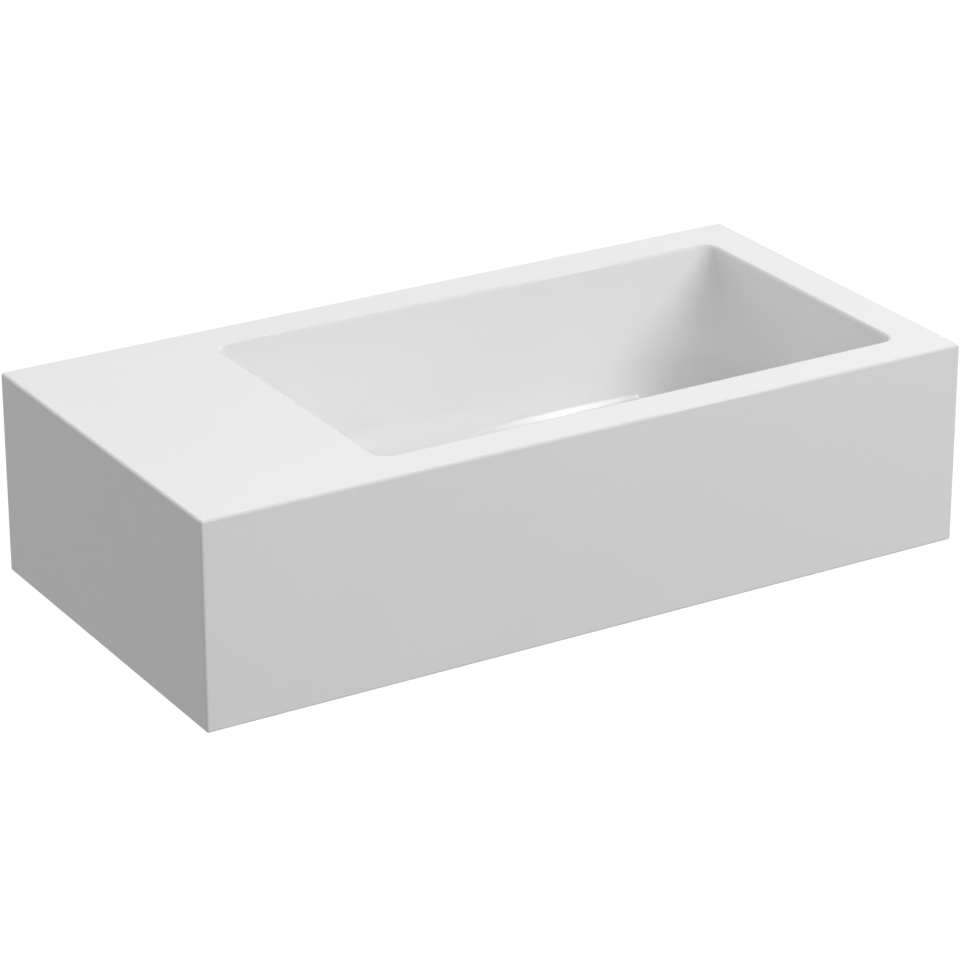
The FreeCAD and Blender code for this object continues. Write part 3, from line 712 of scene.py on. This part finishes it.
    def _is_raw(self, place: Vector) -> bool:
        """Tells whether a face stays unglazed.

        Args:
            place: the face's middle, in millimetres.

        Returns:
            True where no glaze goes.
        """
        if place.y > -SKIN or place.z < self.underside + SKIN:
            return True
        if not self._inside(place):
            return False
        off_axis = math.hypot(place.x - self.middle[0], place.y - self.middle[1])
        hollow_side = self.deck_length - self.length / 2 - self.hollow_wall
        in_hole = off_axis < self.hole_radius + NEAR and place.z < self.ledge + NEAR
        in_recess = place.z < self.underside + self.recess_depth + NEAR
        in_hollow = place.x < hollow_side + NEAR and place.z < self.deck_level - self.hollow_roof + NEAR
        in_back = place.y > self.fixing_foot - NEAR
        return in_hole or in_recess or in_hollow or in_back

    def _inside(self, place: Vector) -> bool:
        """Whether a point lies inside the block's outer faces."""
        return (abs(place.x) < self.length / 2 - WITHIN and place.y > -self.depth + WITHIN
                and place.z < self.deck_level - WITHIN)


def turned(name: str, profile: tuple[tuple[float, float], ...], middle: tuple[float, float],
           steps: int) -> bpy.types.Object:
    """Turns a profile about an upright axis, in millimetres.

    Args:
        name: the piece's name.
        profile: radius and height of each point.
        middle: the axis, X and Y.
        steps: steps in the full turn.

    Returns:
        The turned piece.
    """
    form = bmesh.new()
    verts = [form.verts.new(((middle[0] + radius) * MM, middle[1] * MM, height * MM))
             for radius, height in profile]
    edges = [form.edges.new(pair) for pair in zip(verts, verts[1:])]
    if profile[0][0] > 0:
        edges.append(form.edges.new((verts[-1], verts[0])))
    bmesh.ops.spin(form, geom=verts + edges, cent=(middle[0] * MM, middle[1] * MM, 0), axis=(0, 0, 1),
                   dvec=(0, 0, 0), angle=2 * math.pi, steps=steps, use_merge=True, use_duplicate=False)
    bmesh.ops.remove_doubles(form, verts=form.verts, dist=TOUCHING)
    bmesh.ops.recalc_face_normals(form, faces=form.faces)
    return new_object(name, form)


@dataclass(frozen=True)
class Thread:
    """A thread's form, in millimetres.

    Attributes:
        crest: outer radius.
        root: inner radius.
        pitch: rise per turn.
        steps: steps per turn.
        sink: how deep the ridge's foot lies in the core.
        foot_share: width of the ridge at its foot, as a share of the pitch.
        root_share: the same at the root.
        crest_share: the same at the crest.
    """

    crest: float
    root: float
    pitch: float
    steps: int = 64
    sink: float = 0.3
    foot_share: float = 0.97
    root_share: float = 0.9
    crest_share: float = 0.125

    def ridge(self, form: bmesh.types.BMesh, middle: Vector, top: float, foot: float) -> None:
        """Winds a closed ridge between two heights into a bmesh.

        Args:
            form: the bmesh to add to.
            middle: a point of the upright axis, in metres.
            top: upper end.
            foot: lower end.
        """
        half = self.pitch / 2
        turns = (top - foot - 2 * half) / self.pitch
        start = foot + half
        upper = ((self.crest, half * self.crest_share), (self.root, half * self.root_share),
                 (self.root - self.sink, half * self.foot_share))
        profile = [(radius, -rise) for radius, rise in reversed(upper)] + list(upper)
        verts = [form.verts.new(middle + Vector((radius * MM, 0, (start + rise) * MM)))
                 for radius, rise in profile]
        first = form.faces.new(verts)
        steps = round(turns * self.steps)
        bmesh.ops.spin(form, geom=[first], cent=middle, axis=(0, 0, 1),
                       dvec=(0, 0, turns * self.pitch / steps * MM), angle=2 * math.pi * turns,
                       steps=steps, use_merge=False, use_duplicate=False)


def ring_profile(outer: float, inner: float, top: float, foot: float,
                 edge: float) -> tuple[tuple[float, float], ...]:
    """Gives the section of a flat ring whose four edges are broken.

    Args:
        outer: outer radius.
        inner: inner radius.
        top: upper face.
        foot: lower face.
        edge: width of the broken edges.

    Returns:
        Radius and height of each corner.
    """
    near = edge * CORNER_SHARE
    return ((outer, foot + edge), (outer, top - edge), (outer - near, top - near), (outer - edge, top),
            (inner + edge, top), (inner + near, top - near), (inner, top - edge), (inner, foot + edge),
            (inner + near, foot + near), (inner + edge, foot), (outer - edge, foot),
            (outer - near, foot + near))


def disc_profile(radius: float, top: float, foot: float, edge: float) -> tuple[tuple[float, float], ...]:
    """Gives half the section of a solid disc whose two edges are broken.

    Args:
        radius: the disc's radius.
        top: upper face.
        foot: lower face.
        edge: width of the broken edges.

    Returns:
        Radius and height of each corner, from the axis out and back to it.
    """
    near = edge * CORNER_SHARE
    return ((0, top), (radius - edge, top), (radius - near, top - near), (radius, top - edge),
            (radius, foot + edge), (radius - near, foot + near), (radius - edge, foot), (0, foot))


def combine(base: bpy.types.Object, operation: str, *others: bpy.types.Object) -> None:
    """Joins other solids to a solid, cuts them from it or keeps what they share.

    Args:
        base: the solid that stays.
        operation: UNION, DIFFERENCE or INTERSECT.
        others: the solids used up by it.
    """
    for other in others:
        step = base.modifiers.new(other.name, "BOOLEAN")
        step.operation = operation
        step.solver = "MANIFOLD"
        step.object = other
    settle(base)
    for other in others:
        bpy.data.objects.remove(other)


def soften(piece: bpy.types.Object, width: float, from_angle: float = 40.0) -> None:
    """Breaks a piece's sharp edges.

    Args:
        piece: the mesh object.
        width: width of the broken edge in millimetres.
        from_angle: the angle in degrees from which an edge is broken.
    """
    edge = piece.modifiers.new("broken_edges", "BEVEL")
    edge.width = width * MM
    edge.segments = 2
    edge.limit_method = "ANGLE"
    edge.angle_limit = math.radians(from_angle)
    edge.harden_normals = False
    settle(piece)


def bar(name: str, low: tuple[float, float, float], high: tuple[float, float, float]) -> bpy.types.Object:
    """Makes a plain bar between two corners, in millimetres.

    Args:
        name: the bar's name.
        low: its corner with the lowest X, Y and Z.
        high: the corner across from that one.

    Returns:
        The bar.
    """
    form = bmesh.new()
    middle = [(a + b) / 2 * MM for a, b in zip(low, high)]
    size = [(b - a) * MM for a, b in zip(low, high)]
    bmesh.ops.create_cube(form, size=1.0, matrix=Matrix.Translation(middle) @ Matrix.Diagonal((*size, 1)))
    return new_object(name, form)


@dataclass
class Waste:
    """The free-running waste under its round cover.

    Sizes are in millimetres and levels are heights in the basin's frame.
    """

    middle: tuple[float, float] = DRAIN_AXIS
    seat: float = -45.0
    web_foot: float = -55.0
    tail_end: float = -97.0
    thread: Thread = Thread(20.955, 19.6, 2.309)
    thread_starts: tuple[float, float] = (0.6, 0.5)
    relief: tuple[float, float] = (-74.0, -72.0)
    flange_radius: float = 31.5
    flange_gasket: float = 1.0
    flange: float = 1.8
    bore: float = 17.5
    throat: float = 20.0
    throat_round: float = 1.0
    throat_depth: float = 4.0
    hub_radius: float = 7.0
    hub_height: float = 9.0
    hub_drop: float = 6.0
    hub_bore: float = 4.08
    hub_edge: float = 0.5
    arm_reach: float = 18.5
    arm_width: float = 3.0
    arm_height: float = 6.0
    arm_edge: float = 0.8
    overrun: float = 2.0
    ring_radius: float = 30.0
    ring_bore: float = 21.255
    underside_gasket: float = 3.0
    slip_ring: float = 1.5
    nut_flats: float = 52.0
    nut_height: float = 9.0
    nut_bevel: float = 1.9
    nut_bore: float = 21.005
    nut_sink: float = 1.495
    nut_sink_depth: float = 0.8
    stem_radius: float = 4.0
    stem_neck: float = 3.0
    stem_collar: float = 6.5
    stem_reach: float = 3.0
    spigot_length: float = 4.5
    spigot_fit: float = 0.05
    rubber_height: float = 1.5
    rubber_gap: float = 0.03
    groove_depth: float = 1.2
    groove_lip: float = 0.1
    stem_end: float = 0.8
    cap_radius: float = 30.0
    cap_foot: float = -38.4
    cap_top: float = -35.4
    cap_crown: float = 0.7
    cap_edge: float = 1.1
    boss_radius: float = 8.0
    boss_height: float = 4.0
    boss_socket: float = 1.0
    broken: float = 0.3
    steps: int = 128
    small_steps: int = 64
    nut_steps: int = 96
    flange_top: float = field(init=False)
    hub_top: float = field(init=False)
    nut_top: float = field(init=False)
    boss_foot: float = field(init=False)

    def __post_init__(self) -> None:
        """Works out the levels that pieces share."""
        self.flange_top = self.seat + self.flange_gasket + self.flange
        self.hub_top = self.flange_top - self.hub_drop
        self.nut_top = self.web_foot - self.underside_gasket - self.slip_ring
        self.boss_foot = self.cap_foot - self.boss_height

    def build(self) -> None:
        """Makes every piece of the waste and seats it."""
        self._body()
        self._rings()
        self._nut()
        self._stem()
        self._cover()

    def _body(self) -> None:
        """Flange, funnel, threaded tail and the spider that carries the cover."""
        shell = turned("waste_body_plated", self._shell_profile(), self.middle, self.steps)
        x, y = self.middle
        reach, half = self.arm_reach, self.arm_width / 2
        top = self.hub_top - (self.hub_height - self.arm_height) / 2
        arms = [bar(name, (x - along, y - aside, top - self.arm_height), (x + along, y + aside, top))
                for name, along, aside in (("arm_along", reach, half), ("arm_across", half, reach))]
        for arm in arms:
            soften(arm, width=self.arm_edge)
        foot = self.hub_top - self.hub_height
        hub = turned("hub", disc_profile(self.hub_radius, self.hub_top, foot, self.hub_edge), self.middle,
                     self.small_steps)
        combine(shell, "UNION", *arms, hub)
        above, below = self.hub_top + self.overrun, foot - self.overrun
        hole = turned("hub_hole", ((0, above), (self.hub_bore, above), (self.hub_bore, below), (0, below)),
                      self.middle, self.small_steps)
        combine(shell, "DIFFERENCE", hole)
        form = bmesh.new()
        form.from_mesh(shell.data)
        centre = Vector((x * MM, y * MM, 0))
        upper, lower = self.thread_starts
        self.thread.ridge(form, centre, self.seat + upper, self.relief[1])
        self.thread.ridge(form, centre, self.relief[0], self.tail_end + lower)
        bmesh.ops.recalc_face_normals(form, faces=form.faces)
        form.to_mesh(shell.data)
        form.free()
        shade(shell)
        wear(shell, CHROME, "basin", "waste_body")

    def _shell_profile(self) -> tuple[tuple[float, float], ...]:
        """Gives the section of the flange, the funnel and the tail, whose threads are wound on later.

        Returns:
            Radius and height of each corner.
        """
        top, foot, end = self.flange_top, self.seat + self.flange_gasket, self.tail_end
        outer, root, broken = self.flange_radius, self.thread.root, self.broken
        profile = [(outer, foot + 0.2), (outer, top - 0.8), (outer - 0.1, top - 0.5),
                   (outer - 0.3, top - 0.22), (outer - 0.8, top), (self.throat, top)]
        profile += [(self.throat - self.throat_round * math.sin(turn),
                     top - self.throat_round * (1 - math.cos(turn))) for turn in (0.3, 0.6, 0.9)]
        profile += [(self.bore + 0.5, top - self.throat_depth + 1), (self.bore, top - self.throat_depth),
                    (self.bore, end + broken), (self.bore + broken, end), (root - broken, end),
                    (root, end + broken), (root, foot - broken), (root + broken, foot), (outer - 0.2, foot)]
        return tuple(profile)

    def _rings(self) -> None:
        """Gaskets and slip ring."""
        under = self.web_foot
        slip = under - self.underside_gasket
        for node, name, finish, outer, top, foot, edge in (
            ("waste_top_gasket", "flange_gasket", RUBBER, self.flange_radius, self.seat + self.flange_gasket,
             self.seat, 0.25),
            ("waste_bottom_gasket", "underside_gasket", RUBBER, self.ring_radius, under, slip, 0.5),
            ("waste_slip_ring", "slip_ring", NYLON, self.ring_radius, slip, self.nut_top, self.broken),
        ):
            section = ring_profile(outer, self.ring_bore, top, foot, edge)
            piece = turned(name, section, self.middle, self.steps)
            shade(piece)
            wear(piece, finish, "basin", node)

    def _nut(self) -> None:
        """The hexagonal back nut, its lower corners bevelled and its bore countersunk at both ends."""
        top, foot = self.nut_top, self.nut_top - self.nut_height
        x, y = self.middle
        # Half the angle that one flat spans; the turn sets two flats square to Y
        half_flat = math.radians(30)
        tip = self.nut_flats / 2 / math.cos(half_flat)
        centre = Matrix.Translation((x * MM, y * MM, (top + foot) / 2 * MM))
        form = bmesh.new()
        bmesh.ops.create_cone(form, cap_ends=True, segments=6, radius1=tip * MM, radius2=tip * MM,
                              depth=(top - foot) * MM, matrix=centre @ Matrix.Rotation(half_flat, 4, "Z"))
        nut = new_object("back_nut", form)
        envelope = turned("nut_envelope", ((0, top), (tip + 1, top), (tip + 1, foot + self.nut_bevel),
                                           (self.nut_flats / 2 - 0.4, foot), (0, foot)),
                          self.middle, self.nut_steps)
        combine(nut, "INTERSECT", envelope)
        bore, deep = self.nut_bore, self.nut_sink_depth
        wide = bore + self.nut_sink
        hole = turned("nut_hole", ((0, top + 5), (wide, top + 1.5), (bore, top - deep), (bore, foot + deep),
                                   (wide, foot - 1.5), (0, foot - 5)), self.middle, self.nut_steps)
        combine(nut, "DIFFERENCE", hole)
        shade(nut, sharp_from=25.0)
        wear(nut, BRASS, "basin", "waste_back_nut")

    def _stem(self) -> None:
        """The cover's stem and its rubber ring."""
        boss, top, broken = self.boss_foot, self.hub_top, self.broken
        foot = top - self.hub_height - self.stem_reach
        radius, neck, collar = self.stem_radius, self.stem_neck, self.stem_collar
        groove = radius - self.groove_depth
        middle = top - self.hub_height / 2
        ring_top, ring_foot = middle + self.rubber_height / 2, middle - self.rubber_height / 2
        groove_top, groove_foot = ring_top + self.rubber_gap, ring_foot - self.rubber_gap
        spigot, lip, end = boss + self.spigot_length, self.groove_lip, self.stem_end
        stem = ((0, spigot), (neck - broken, spigot), (neck, spigot - broken), (neck, boss),
                (collar - broken, boss), (collar, boss - broken), (collar, top + broken),
                (collar - broken, top), (radius, top), (radius, groove_top + lip),
                (radius - lip, groove_top), (groove, groove_top), (groove, groove_foot),
                (radius - lip, groove_foot), (radius, groove_foot - lip), (radius, foot + end),
                (radius - broken, foot + broken), (radius - end, foot), (0, foot))
        piece = turned("cover_stem", stem, self.middle, self.small_steps)
        shade(piece, sharp_from=28.0)
        wear(piece, BRASS, "waste_cover", "waste_stem")
        section = ring_profile(self.hub_bore - self.rubber_gap, groove + self.rubber_gap, ring_top,
                               ring_foot, 0.25)
        ring = turned("cover_stem_ring", section, self.middle, self.small_steps)
        shade(ring)
        wear(ring, RUBBER, "waste_cover", "waste_stem_ring")

    def _cover(self) -> None:
        """The polished cover, crowned a little and with a soft edge."""
        top, foot, reach = self.cap_top, self.cap_foot, self.cap_radius
        edge, crown, broken = self.cap_edge, self.cap_crown, self.broken
        near = broken * CORNER_SHARE
        boss, boss_foot, bore = self.boss_radius, self.boss_foot, self.stem_neck + self.spigot_fit
        socket = foot + self.boss_socket
        profile = [((reach - edge) * share, top - crown * share ** 2)
                   for share in (0, 0.2, 0.4, 0.6, 0.8, 0.9, 1)]
        shoulder = top - crown - edge
        profile += [(reach - edge + edge * math.sin(turn), shoulder + edge * math.cos(turn))
                    for turn in map(math.radians, (15, 30, 45, 60, 75, 90))]
        profile += [(reach, foot + broken), (reach - near, foot + near), (reach - broken, foot),
                    (boss + broken, foot), (boss, foot - broken), (boss, boss_foot + broken),
                    (boss - broken, boss_foot), (bore + broken, boss_foot), (bore, boss_foot + broken),
                    (bore, socket), (0, socket)]
        piece = turned("waste_cover_cap", tuple(profile), self.middle, self.steps)
        shade(piece)
        wear(piece, CHROME, "waste_cover", "waste_cap")


@dataclass
class Hangers:
    """The two keyhole plates in the back and their screws, sizes in millimetres."""

    plan: HangerPlan = HangerPlan()
    slot: float = 4.25
    entry: float = 8.0
    overrun: float = 3.0
    sink_radius: float = 4.4
    sink_foot: float = -2.45
    screw_hole: float = 2.25
    head_sink: float = 0.1
    head_radius: float = 4.0
    head_depth: float = 2.2
    neck_depth: float = 2.6
    screw_length: float = 11.0
    tip_radius: float = 1.2
    tip_length: float = 0.6
    socket_radius: float = 1.45
    socket_depth: float = 1.3
    thread: Thread = Thread(2.0, 1.65, 0.7, 24)
    thread_starts: tuple[float, float] = (2.7, 0.3)
    plate_edge: float = 0.35
    steps: int = 64

    def build(self) -> None:
        """Makes the plates and screws."""
        screws = []
        for side, across in self.plan.sides():
            self._plate(side, across)
            screws += [self._screw(across, height) for _, height in self.plan.fixings()]
        form = bmesh.new()
        for screw in screws:
            form.from_mesh(screw.data)
            bpy.data.objects.remove(screw)
        together = new_object("plate_screws", form)
        shade(together, sharp_from=28.0)
        wear(together, STEEL, "basin", "hanger_screws")

    def _plate(self, side: str, across: float) -> None:
        """Makes one keyhole plate.

        Args:
            side: left or right.
            across: X of its middle.
        """
        plan, through = self.plan, self.plan.front - self.overrun
        plate = upright_slab(f"keyhole_plate_{side}", (across, plan.middle), plan.size, plan.corner,
                             (plan.back, plan.front))
        entry = self._drill("entry", across, -plan.drop,
                            ((self.entry, self.overrun), (self.entry, through)))
        slot = bar("slot", (across - self.slot, through, -plan.drop),
                   (across + self.slot, plan.back + self.overrun, 0.0))
        end = self._drill("slot_end", across, 0.0, ((self.slot, self.overrun), (self.slot, through)))
        sink = ((self.sink_radius - plan.back, 0.0), (self.sink_radius, plan.back),
                (self.screw_hole, self.sink_foot), (self.screw_hole, through))
        sinks = [self._drill(f"sink_{place}", across, height, sink) for place, height in plan.fixings()]
        combine(plate, "DIFFERENCE", entry, slot, end, *sinks)
        soften(plate, width=self.plate_edge, from_angle=60.0)
        shade(plate, sharp_from=28.0)
        wear(plate, STEEL, "basin", f"hanger_plate_{side}")

    def _drill(self, name: str, across: float, height: float,
               profile: tuple[tuple[float, float], ...]) -> bpy.types.Object:
        """Turns a form whose axis stands square to the wall.

        Args:
            name: the piece's name.
            across: its axis, X.
            height: its axis, Z.
            profile: radius and Y of each point from the wall side inwards.

        Returns:
            The form.
        """
        whole = ((0, profile[0][1]), *profile, (0, profile[-1][1]))
        piece = turned(name, whole, (0.0, 0.0), self.steps)
        piece.data.transform(self._laid(across, height))
        return piece

    @staticmethod
    def _laid(across: float, height: float) -> Matrix:
        """The move that lays an upright axis along Y and sets it at a place in the back."""
        return Matrix.Translation((across * MM, 0, height * MM)) @ Matrix.Rotation(-math.pi / 2, 4, "X")

    def _screw(self, across: float, height: float) -> bpy.types.Object:
        """Makes one countersunk screw with a socket and a thread.

        Args:
            across: its axis, X.
            height: its axis, Z.

        Returns:
            The screw, seated in its plate.
        """
        head, radius, root = self.plan.back - self.head_sink, self.head_radius, self.thread.root
        tip = head - self.screw_length
        profile = ((radius - 0.2, head), (radius - 0.05, head - 0.08), (radius, head - 0.25),
                   (self.thread.crest + 0.05, head - self.head_depth), (root, head - self.neck_depth),
                   (root, tip + self.tip_length), (self.tip_radius, tip))
        screw = self._drill("screw", across, height, profile)
        form = bmesh.new()
        at_head = Matrix.Translation((across * MM, head * MM, height * MM))
        socket = self.socket_radius * MM
        bmesh.ops.create_cone(form, cap_ends=True, segments=6, radius1=socket, radius2=socket,
                              depth=2 * self.socket_depth * MM,
                              matrix=at_head @ Matrix.Rotation(math.pi / 2, 4, "X"))
        combine(screw, "DIFFERENCE", new_object("socket", form))
        wound = bmesh.new()
        below_head, above_tip = self.thread_starts
        self.thread.ridge(wound, Vector((0, 0, 0)), head - below_head, tip + above_tip)
        bmesh.ops.transform(wound, matrix=self._laid(across, height), verts=wound.verts)
        wound.from_mesh(screw.data)
        bmesh.ops.recalc_face_normals(wound, faces=wound.faces)
        wound.to_mesh(screw.data)
        wound.free()
        return screw


def direction(azimuth: float, elevation: float) -> Vector:
    """Gives the unit vector at an azimuth from +X and an elevation, both in degrees."""
    around, up = math.radians(azimuth), math.radians(elevation)
    return Vector((math.cos(up) * math.cos(around), math.cos(up) * math.sin(around), math.sin(up)))


@dataclass(frozen=True)
class Glow:
    """A soft patch of light in the surroundings: its direction in degrees and its strength."""

    azimuth: float
    elevation: float
    strength: float


@dataclass(frozen=True)
class Panel:
    """A flat lamp.

    Attributes:
        name: its name.
        azimuth: direction in degrees, 0 along +X and 90 along +Y.
        elevation: degrees above the horizon.
        size: width and height in metres, the width along X as far as its tilt allows.
        power: watts.
        aim: the point that it faces.
        mirrored: whether glossy surfaces show it.
        oval: whether it is an oval lamp that only glossy surfaces show.
    """

    name: str
    azimuth: float
    elevation: float
    size: tuple[float, float]
    power: float
    aim: tuple[float, float, float] = (0.0, -0.09, 0.0)
    mirrored: bool = False
    oval: bool = False


@dataclass
class Studio:
    """Camera, floor and light.

    Attributes:
        lens: focal length in millimetres.
        sensor: width of the camera's sensor in millimetres.
        clip: nearest and farthest that the camera sees.
        place: where the camera stands.
        right: unit vector to the picture's right, and down and ahead likewise.
        floor_level: height of the floor.
        floor_reach: from the middle of the floor to its edges.
        floor_roughness: how dull the floor is.
        floor_shade: grey of the floor as it lights the basin.
        floor_mirrored: light of the floor as glossy surfaces show it.
        ground: brightness of all that the camera sees behind the basin.
        level: even light from all round.
        glows: brighter patches of the surroundings.
        softness: how fast a glow fades away from its middle.
        panel_distance: from each lamp to the point that it faces.
        panels: the lamps.
    """

    lens: float = 149.637
    sensor: float = 36.0
    clip: tuple[float, float] = (0.05, 40.0)
    place: tuple[float, float, float] = (-0.80247, -1.422878, 0.637931)
    right: tuple[float, float, float] = (0.8570734, -0.5151923, -0.0014249)
    down: tuple[float, float, float] = (-0.2031482, -0.3354129, -0.919907)
    ahead: tuple[float, float, float] = (0.4734511, 0.7887173, -0.3921339)
    floor_level: float = -2.0
    floor_reach: float = 14.0
    floor_roughness: float = 0.9
    floor_shade: float = 0.45
    floor_mirrored: float = 0.16
    ground: float = 1.05
    level: float = 0.296
    glows: tuple[Glow, ...] = (Glow(45, 40, 1.24), Glow(90, 30, 0.24))
    softness: float = 6.0
    panel_distance: float = 2.2
    panels: tuple[Panel, ...] = (
        Panel("key_low", -75, 35, (0.7, 0.7), 10.0),
        Panel("key_side", -60, 30, (0.7, 0.7), 13.8),
        Panel("fill_left", 180, 40, (0.7, 0.7), 3.14),
        Panel("fill_back", 125, 15, (1.2, 1.2), 4.42, mirrored=True),
        Panel("strip", -40.5, 49.2, (0.1, 0.7), 1.1, (0.083, -0.0266, -0.0336), mirrored=True, oval=True),
    )

    def build(self) -> None:
        """Sets up the whole studio."""
        self._camera()
        self._floor()
        self._surround()
        for panel in self.panels:
            self._lamp(panel)

    def _camera(self) -> None:
        """The camera at the photograph's viewing angle."""
        data = bpy.data.cameras.new("studio_camera")
        data.sensor_fit = "HORIZONTAL"
        data.sensor_width = self.sensor
        data.lens = self.lens
        data.clip_start, data.clip_end = self.clip
        camera = bpy.data.objects.new("studio_camera", data)
        bpy.context.scene.collection.objects.link(camera)
        turn = Matrix((Vector(self.right), -Vector(self.down), -Vector(self.ahead))).transposed().to_4x4()
        camera.matrix_world = Matrix.Translation(self.place) @ turn
        scene = bpy.context.scene
        scene.camera = camera
        scene.view_settings.view_transform = "Standard"
        scene.view_settings.look = "None"

    def _floor(self) -> None:
        """A wide pale floor, well below the basin as under a real one; the camera sees it plain white."""
        form = bmesh.new()
        bmesh.ops.create_grid(form, x_segments=1, y_segments=1, size=self.floor_reach,
                              matrix=Matrix.Translation((0, 0, self.floor_level)))
        floor = new_object("studio_floor", form)
        made = bpy.data.materials.new("studio_floor")
        made.use_nodes = True
        tree = made.node_tree
        shader = tree.nodes["Principled BSDF"]
        shader.inputs["Base Color"].default_value = (*[self.floor_shade] * 3, 1)
        shader.inputs["Roughness"].default_value = self.floor_roughness
        white = tree.nodes.new("ShaderNodeEmission")
        white.inputs["Strength"].default_value = self.ground
        path = tree.nodes.new("ShaderNodeLightPath")
        shader.inputs["Emission Color"].default_value = (1, 1, 1, 1)
        shine = self._arithmetic(tree, "MULTIPLY", path.outputs["Is Glossy Ray"], self.floor_mirrored)
        tree.links.new(shine, shader.inputs["Emission Strength"])
        mix = tree.nodes.new("ShaderNodeMixShader")
        tree.links.new(path.outputs["Is Camera Ray"], mix.inputs["Fac"])
        tree.links.new(shader.outputs["BSDF"], mix.inputs[1])
        tree.links.new(white.outputs["Emission"], mix.inputs[2])
        tree.links.new(mix.outputs["Shader"], tree.nodes["Material Output"].inputs["Surface"])
        floor.data.materials.append(made)

    def _surround(self) -> None:
        """Soft patches of light all round; the camera sees plain white."""
        world = bpy.data.worlds.new("studio_surround")
        bpy.context.scene.world = world
        world.use_nodes = True
        tree = world.node_tree
        tree.nodes.clear()
        place = tree.nodes.new("ShaderNodeTexCoord")
        total = None
        for glow in self.glows:
            facing = tree.nodes.new("ShaderNodeVectorMath")
            facing.operation = "DOT_PRODUCT"
            facing.inputs[1].default_value = direction(glow.azimuth, glow.elevation)
            tree.links.new(place.outputs["Generated"], facing.inputs[0])
            front = self._arithmetic(tree, "MAXIMUM", facing.outputs["Value"], 0.0)
            fade = self._arithmetic(tree, "POWER", front, self.softness)
            patch = self._arithmetic(tree, "MULTIPLY", fade, glow.strength)
            total = self._arithmetic(tree, "ADD", patch, self.level if total is None else total)
        path = tree.nodes.new("ShaderNodeLightPath")
        light = tree.nodes.new("ShaderNodeBackground")
        light.inputs["Color"].default_value = (1, 1, 1, 1)
        tree.links.new(total, light.inputs["Strength"])
        white = tree.nodes.new("ShaderNodeBackground")
        white.inputs["Color"].default_value = (1, 1, 1, 1)
        white.inputs["Strength"].default_value = self.ground
        mix = tree.nodes.new("ShaderNodeMixShader")
        leave = tree.nodes.new("ShaderNodeOutputWorld")
        tree.links.new(path.outputs["Is Camera Ray"], mix.inputs["Fac"])
        tree.links.new(light.outputs["Background"], mix.inputs[1])
        tree.links.new(white.outputs["Background"], mix.inputs[2])
        tree.links.new(mix.outputs["Shader"], leave.inputs["Surface"])

    @staticmethod
    def _arithmetic(tree: bpy.types.NodeTree, operation: str, first: bpy.types.NodeSocket,
                    second: bpy.types.NodeSocket | float) -> bpy.types.NodeSocket:
        """Places one step of arithmetic.

        Args:
            tree: the node tree.
            operation: the step's name.
            first: its first value.
            second: its second value or number.

        Returns:
            The result's socket.
        """
        node = tree.nodes.new("ShaderNodeMath")
        node.operation = operation
        tree.links.new(first, node.inputs[0])
        if isinstance(second, float):
            node.inputs[1].default_value = second
        else:
            tree.links.new(second, node.inputs[1])
        return node.outputs["Value"]

    def _lamp(self, panel: Panel) -> None:
        """Hangs one flat lamp.

        Args:
            panel: what the lamp is and where it hangs.
        """
        data = bpy.data.lights.new(panel.name, "AREA")
        data.shape = "ELLIPSE" if panel.oval else "RECTANGLE"
        data.size, data.size_y = panel.size
        data.energy = panel.power
        lamp = bpy.data.objects.new(panel.name, data)
        bpy.context.scene.collection.objects.link(lamp)
        lamp.visible_glossy = panel.mirrored
        lamp.visible_diffuse = not panel.oval
        toward = direction(panel.azimuth, panel.elevation)
        across = (Vector((1, 0, 0)) - toward * toward.x).normalized()
        turn = Matrix((across, toward.cross(across), toward)).transposed().to_4x4()
        lamp.matrix_world = Matrix.Translation(Vector(panel.aim) + toward * self.panel_distance) @ turn


def main() -> None:
    """Builds the basin, its fittings and the studio, in that order."""
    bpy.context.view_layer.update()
    basin = CastBasin().build()
    hand_over(basin, "basin", "basin_body")
    Waste().build()
    Hangers().build()
    Studio().build()
    LOG.info("sizes written")


if __name__ == "__main__":
    main()
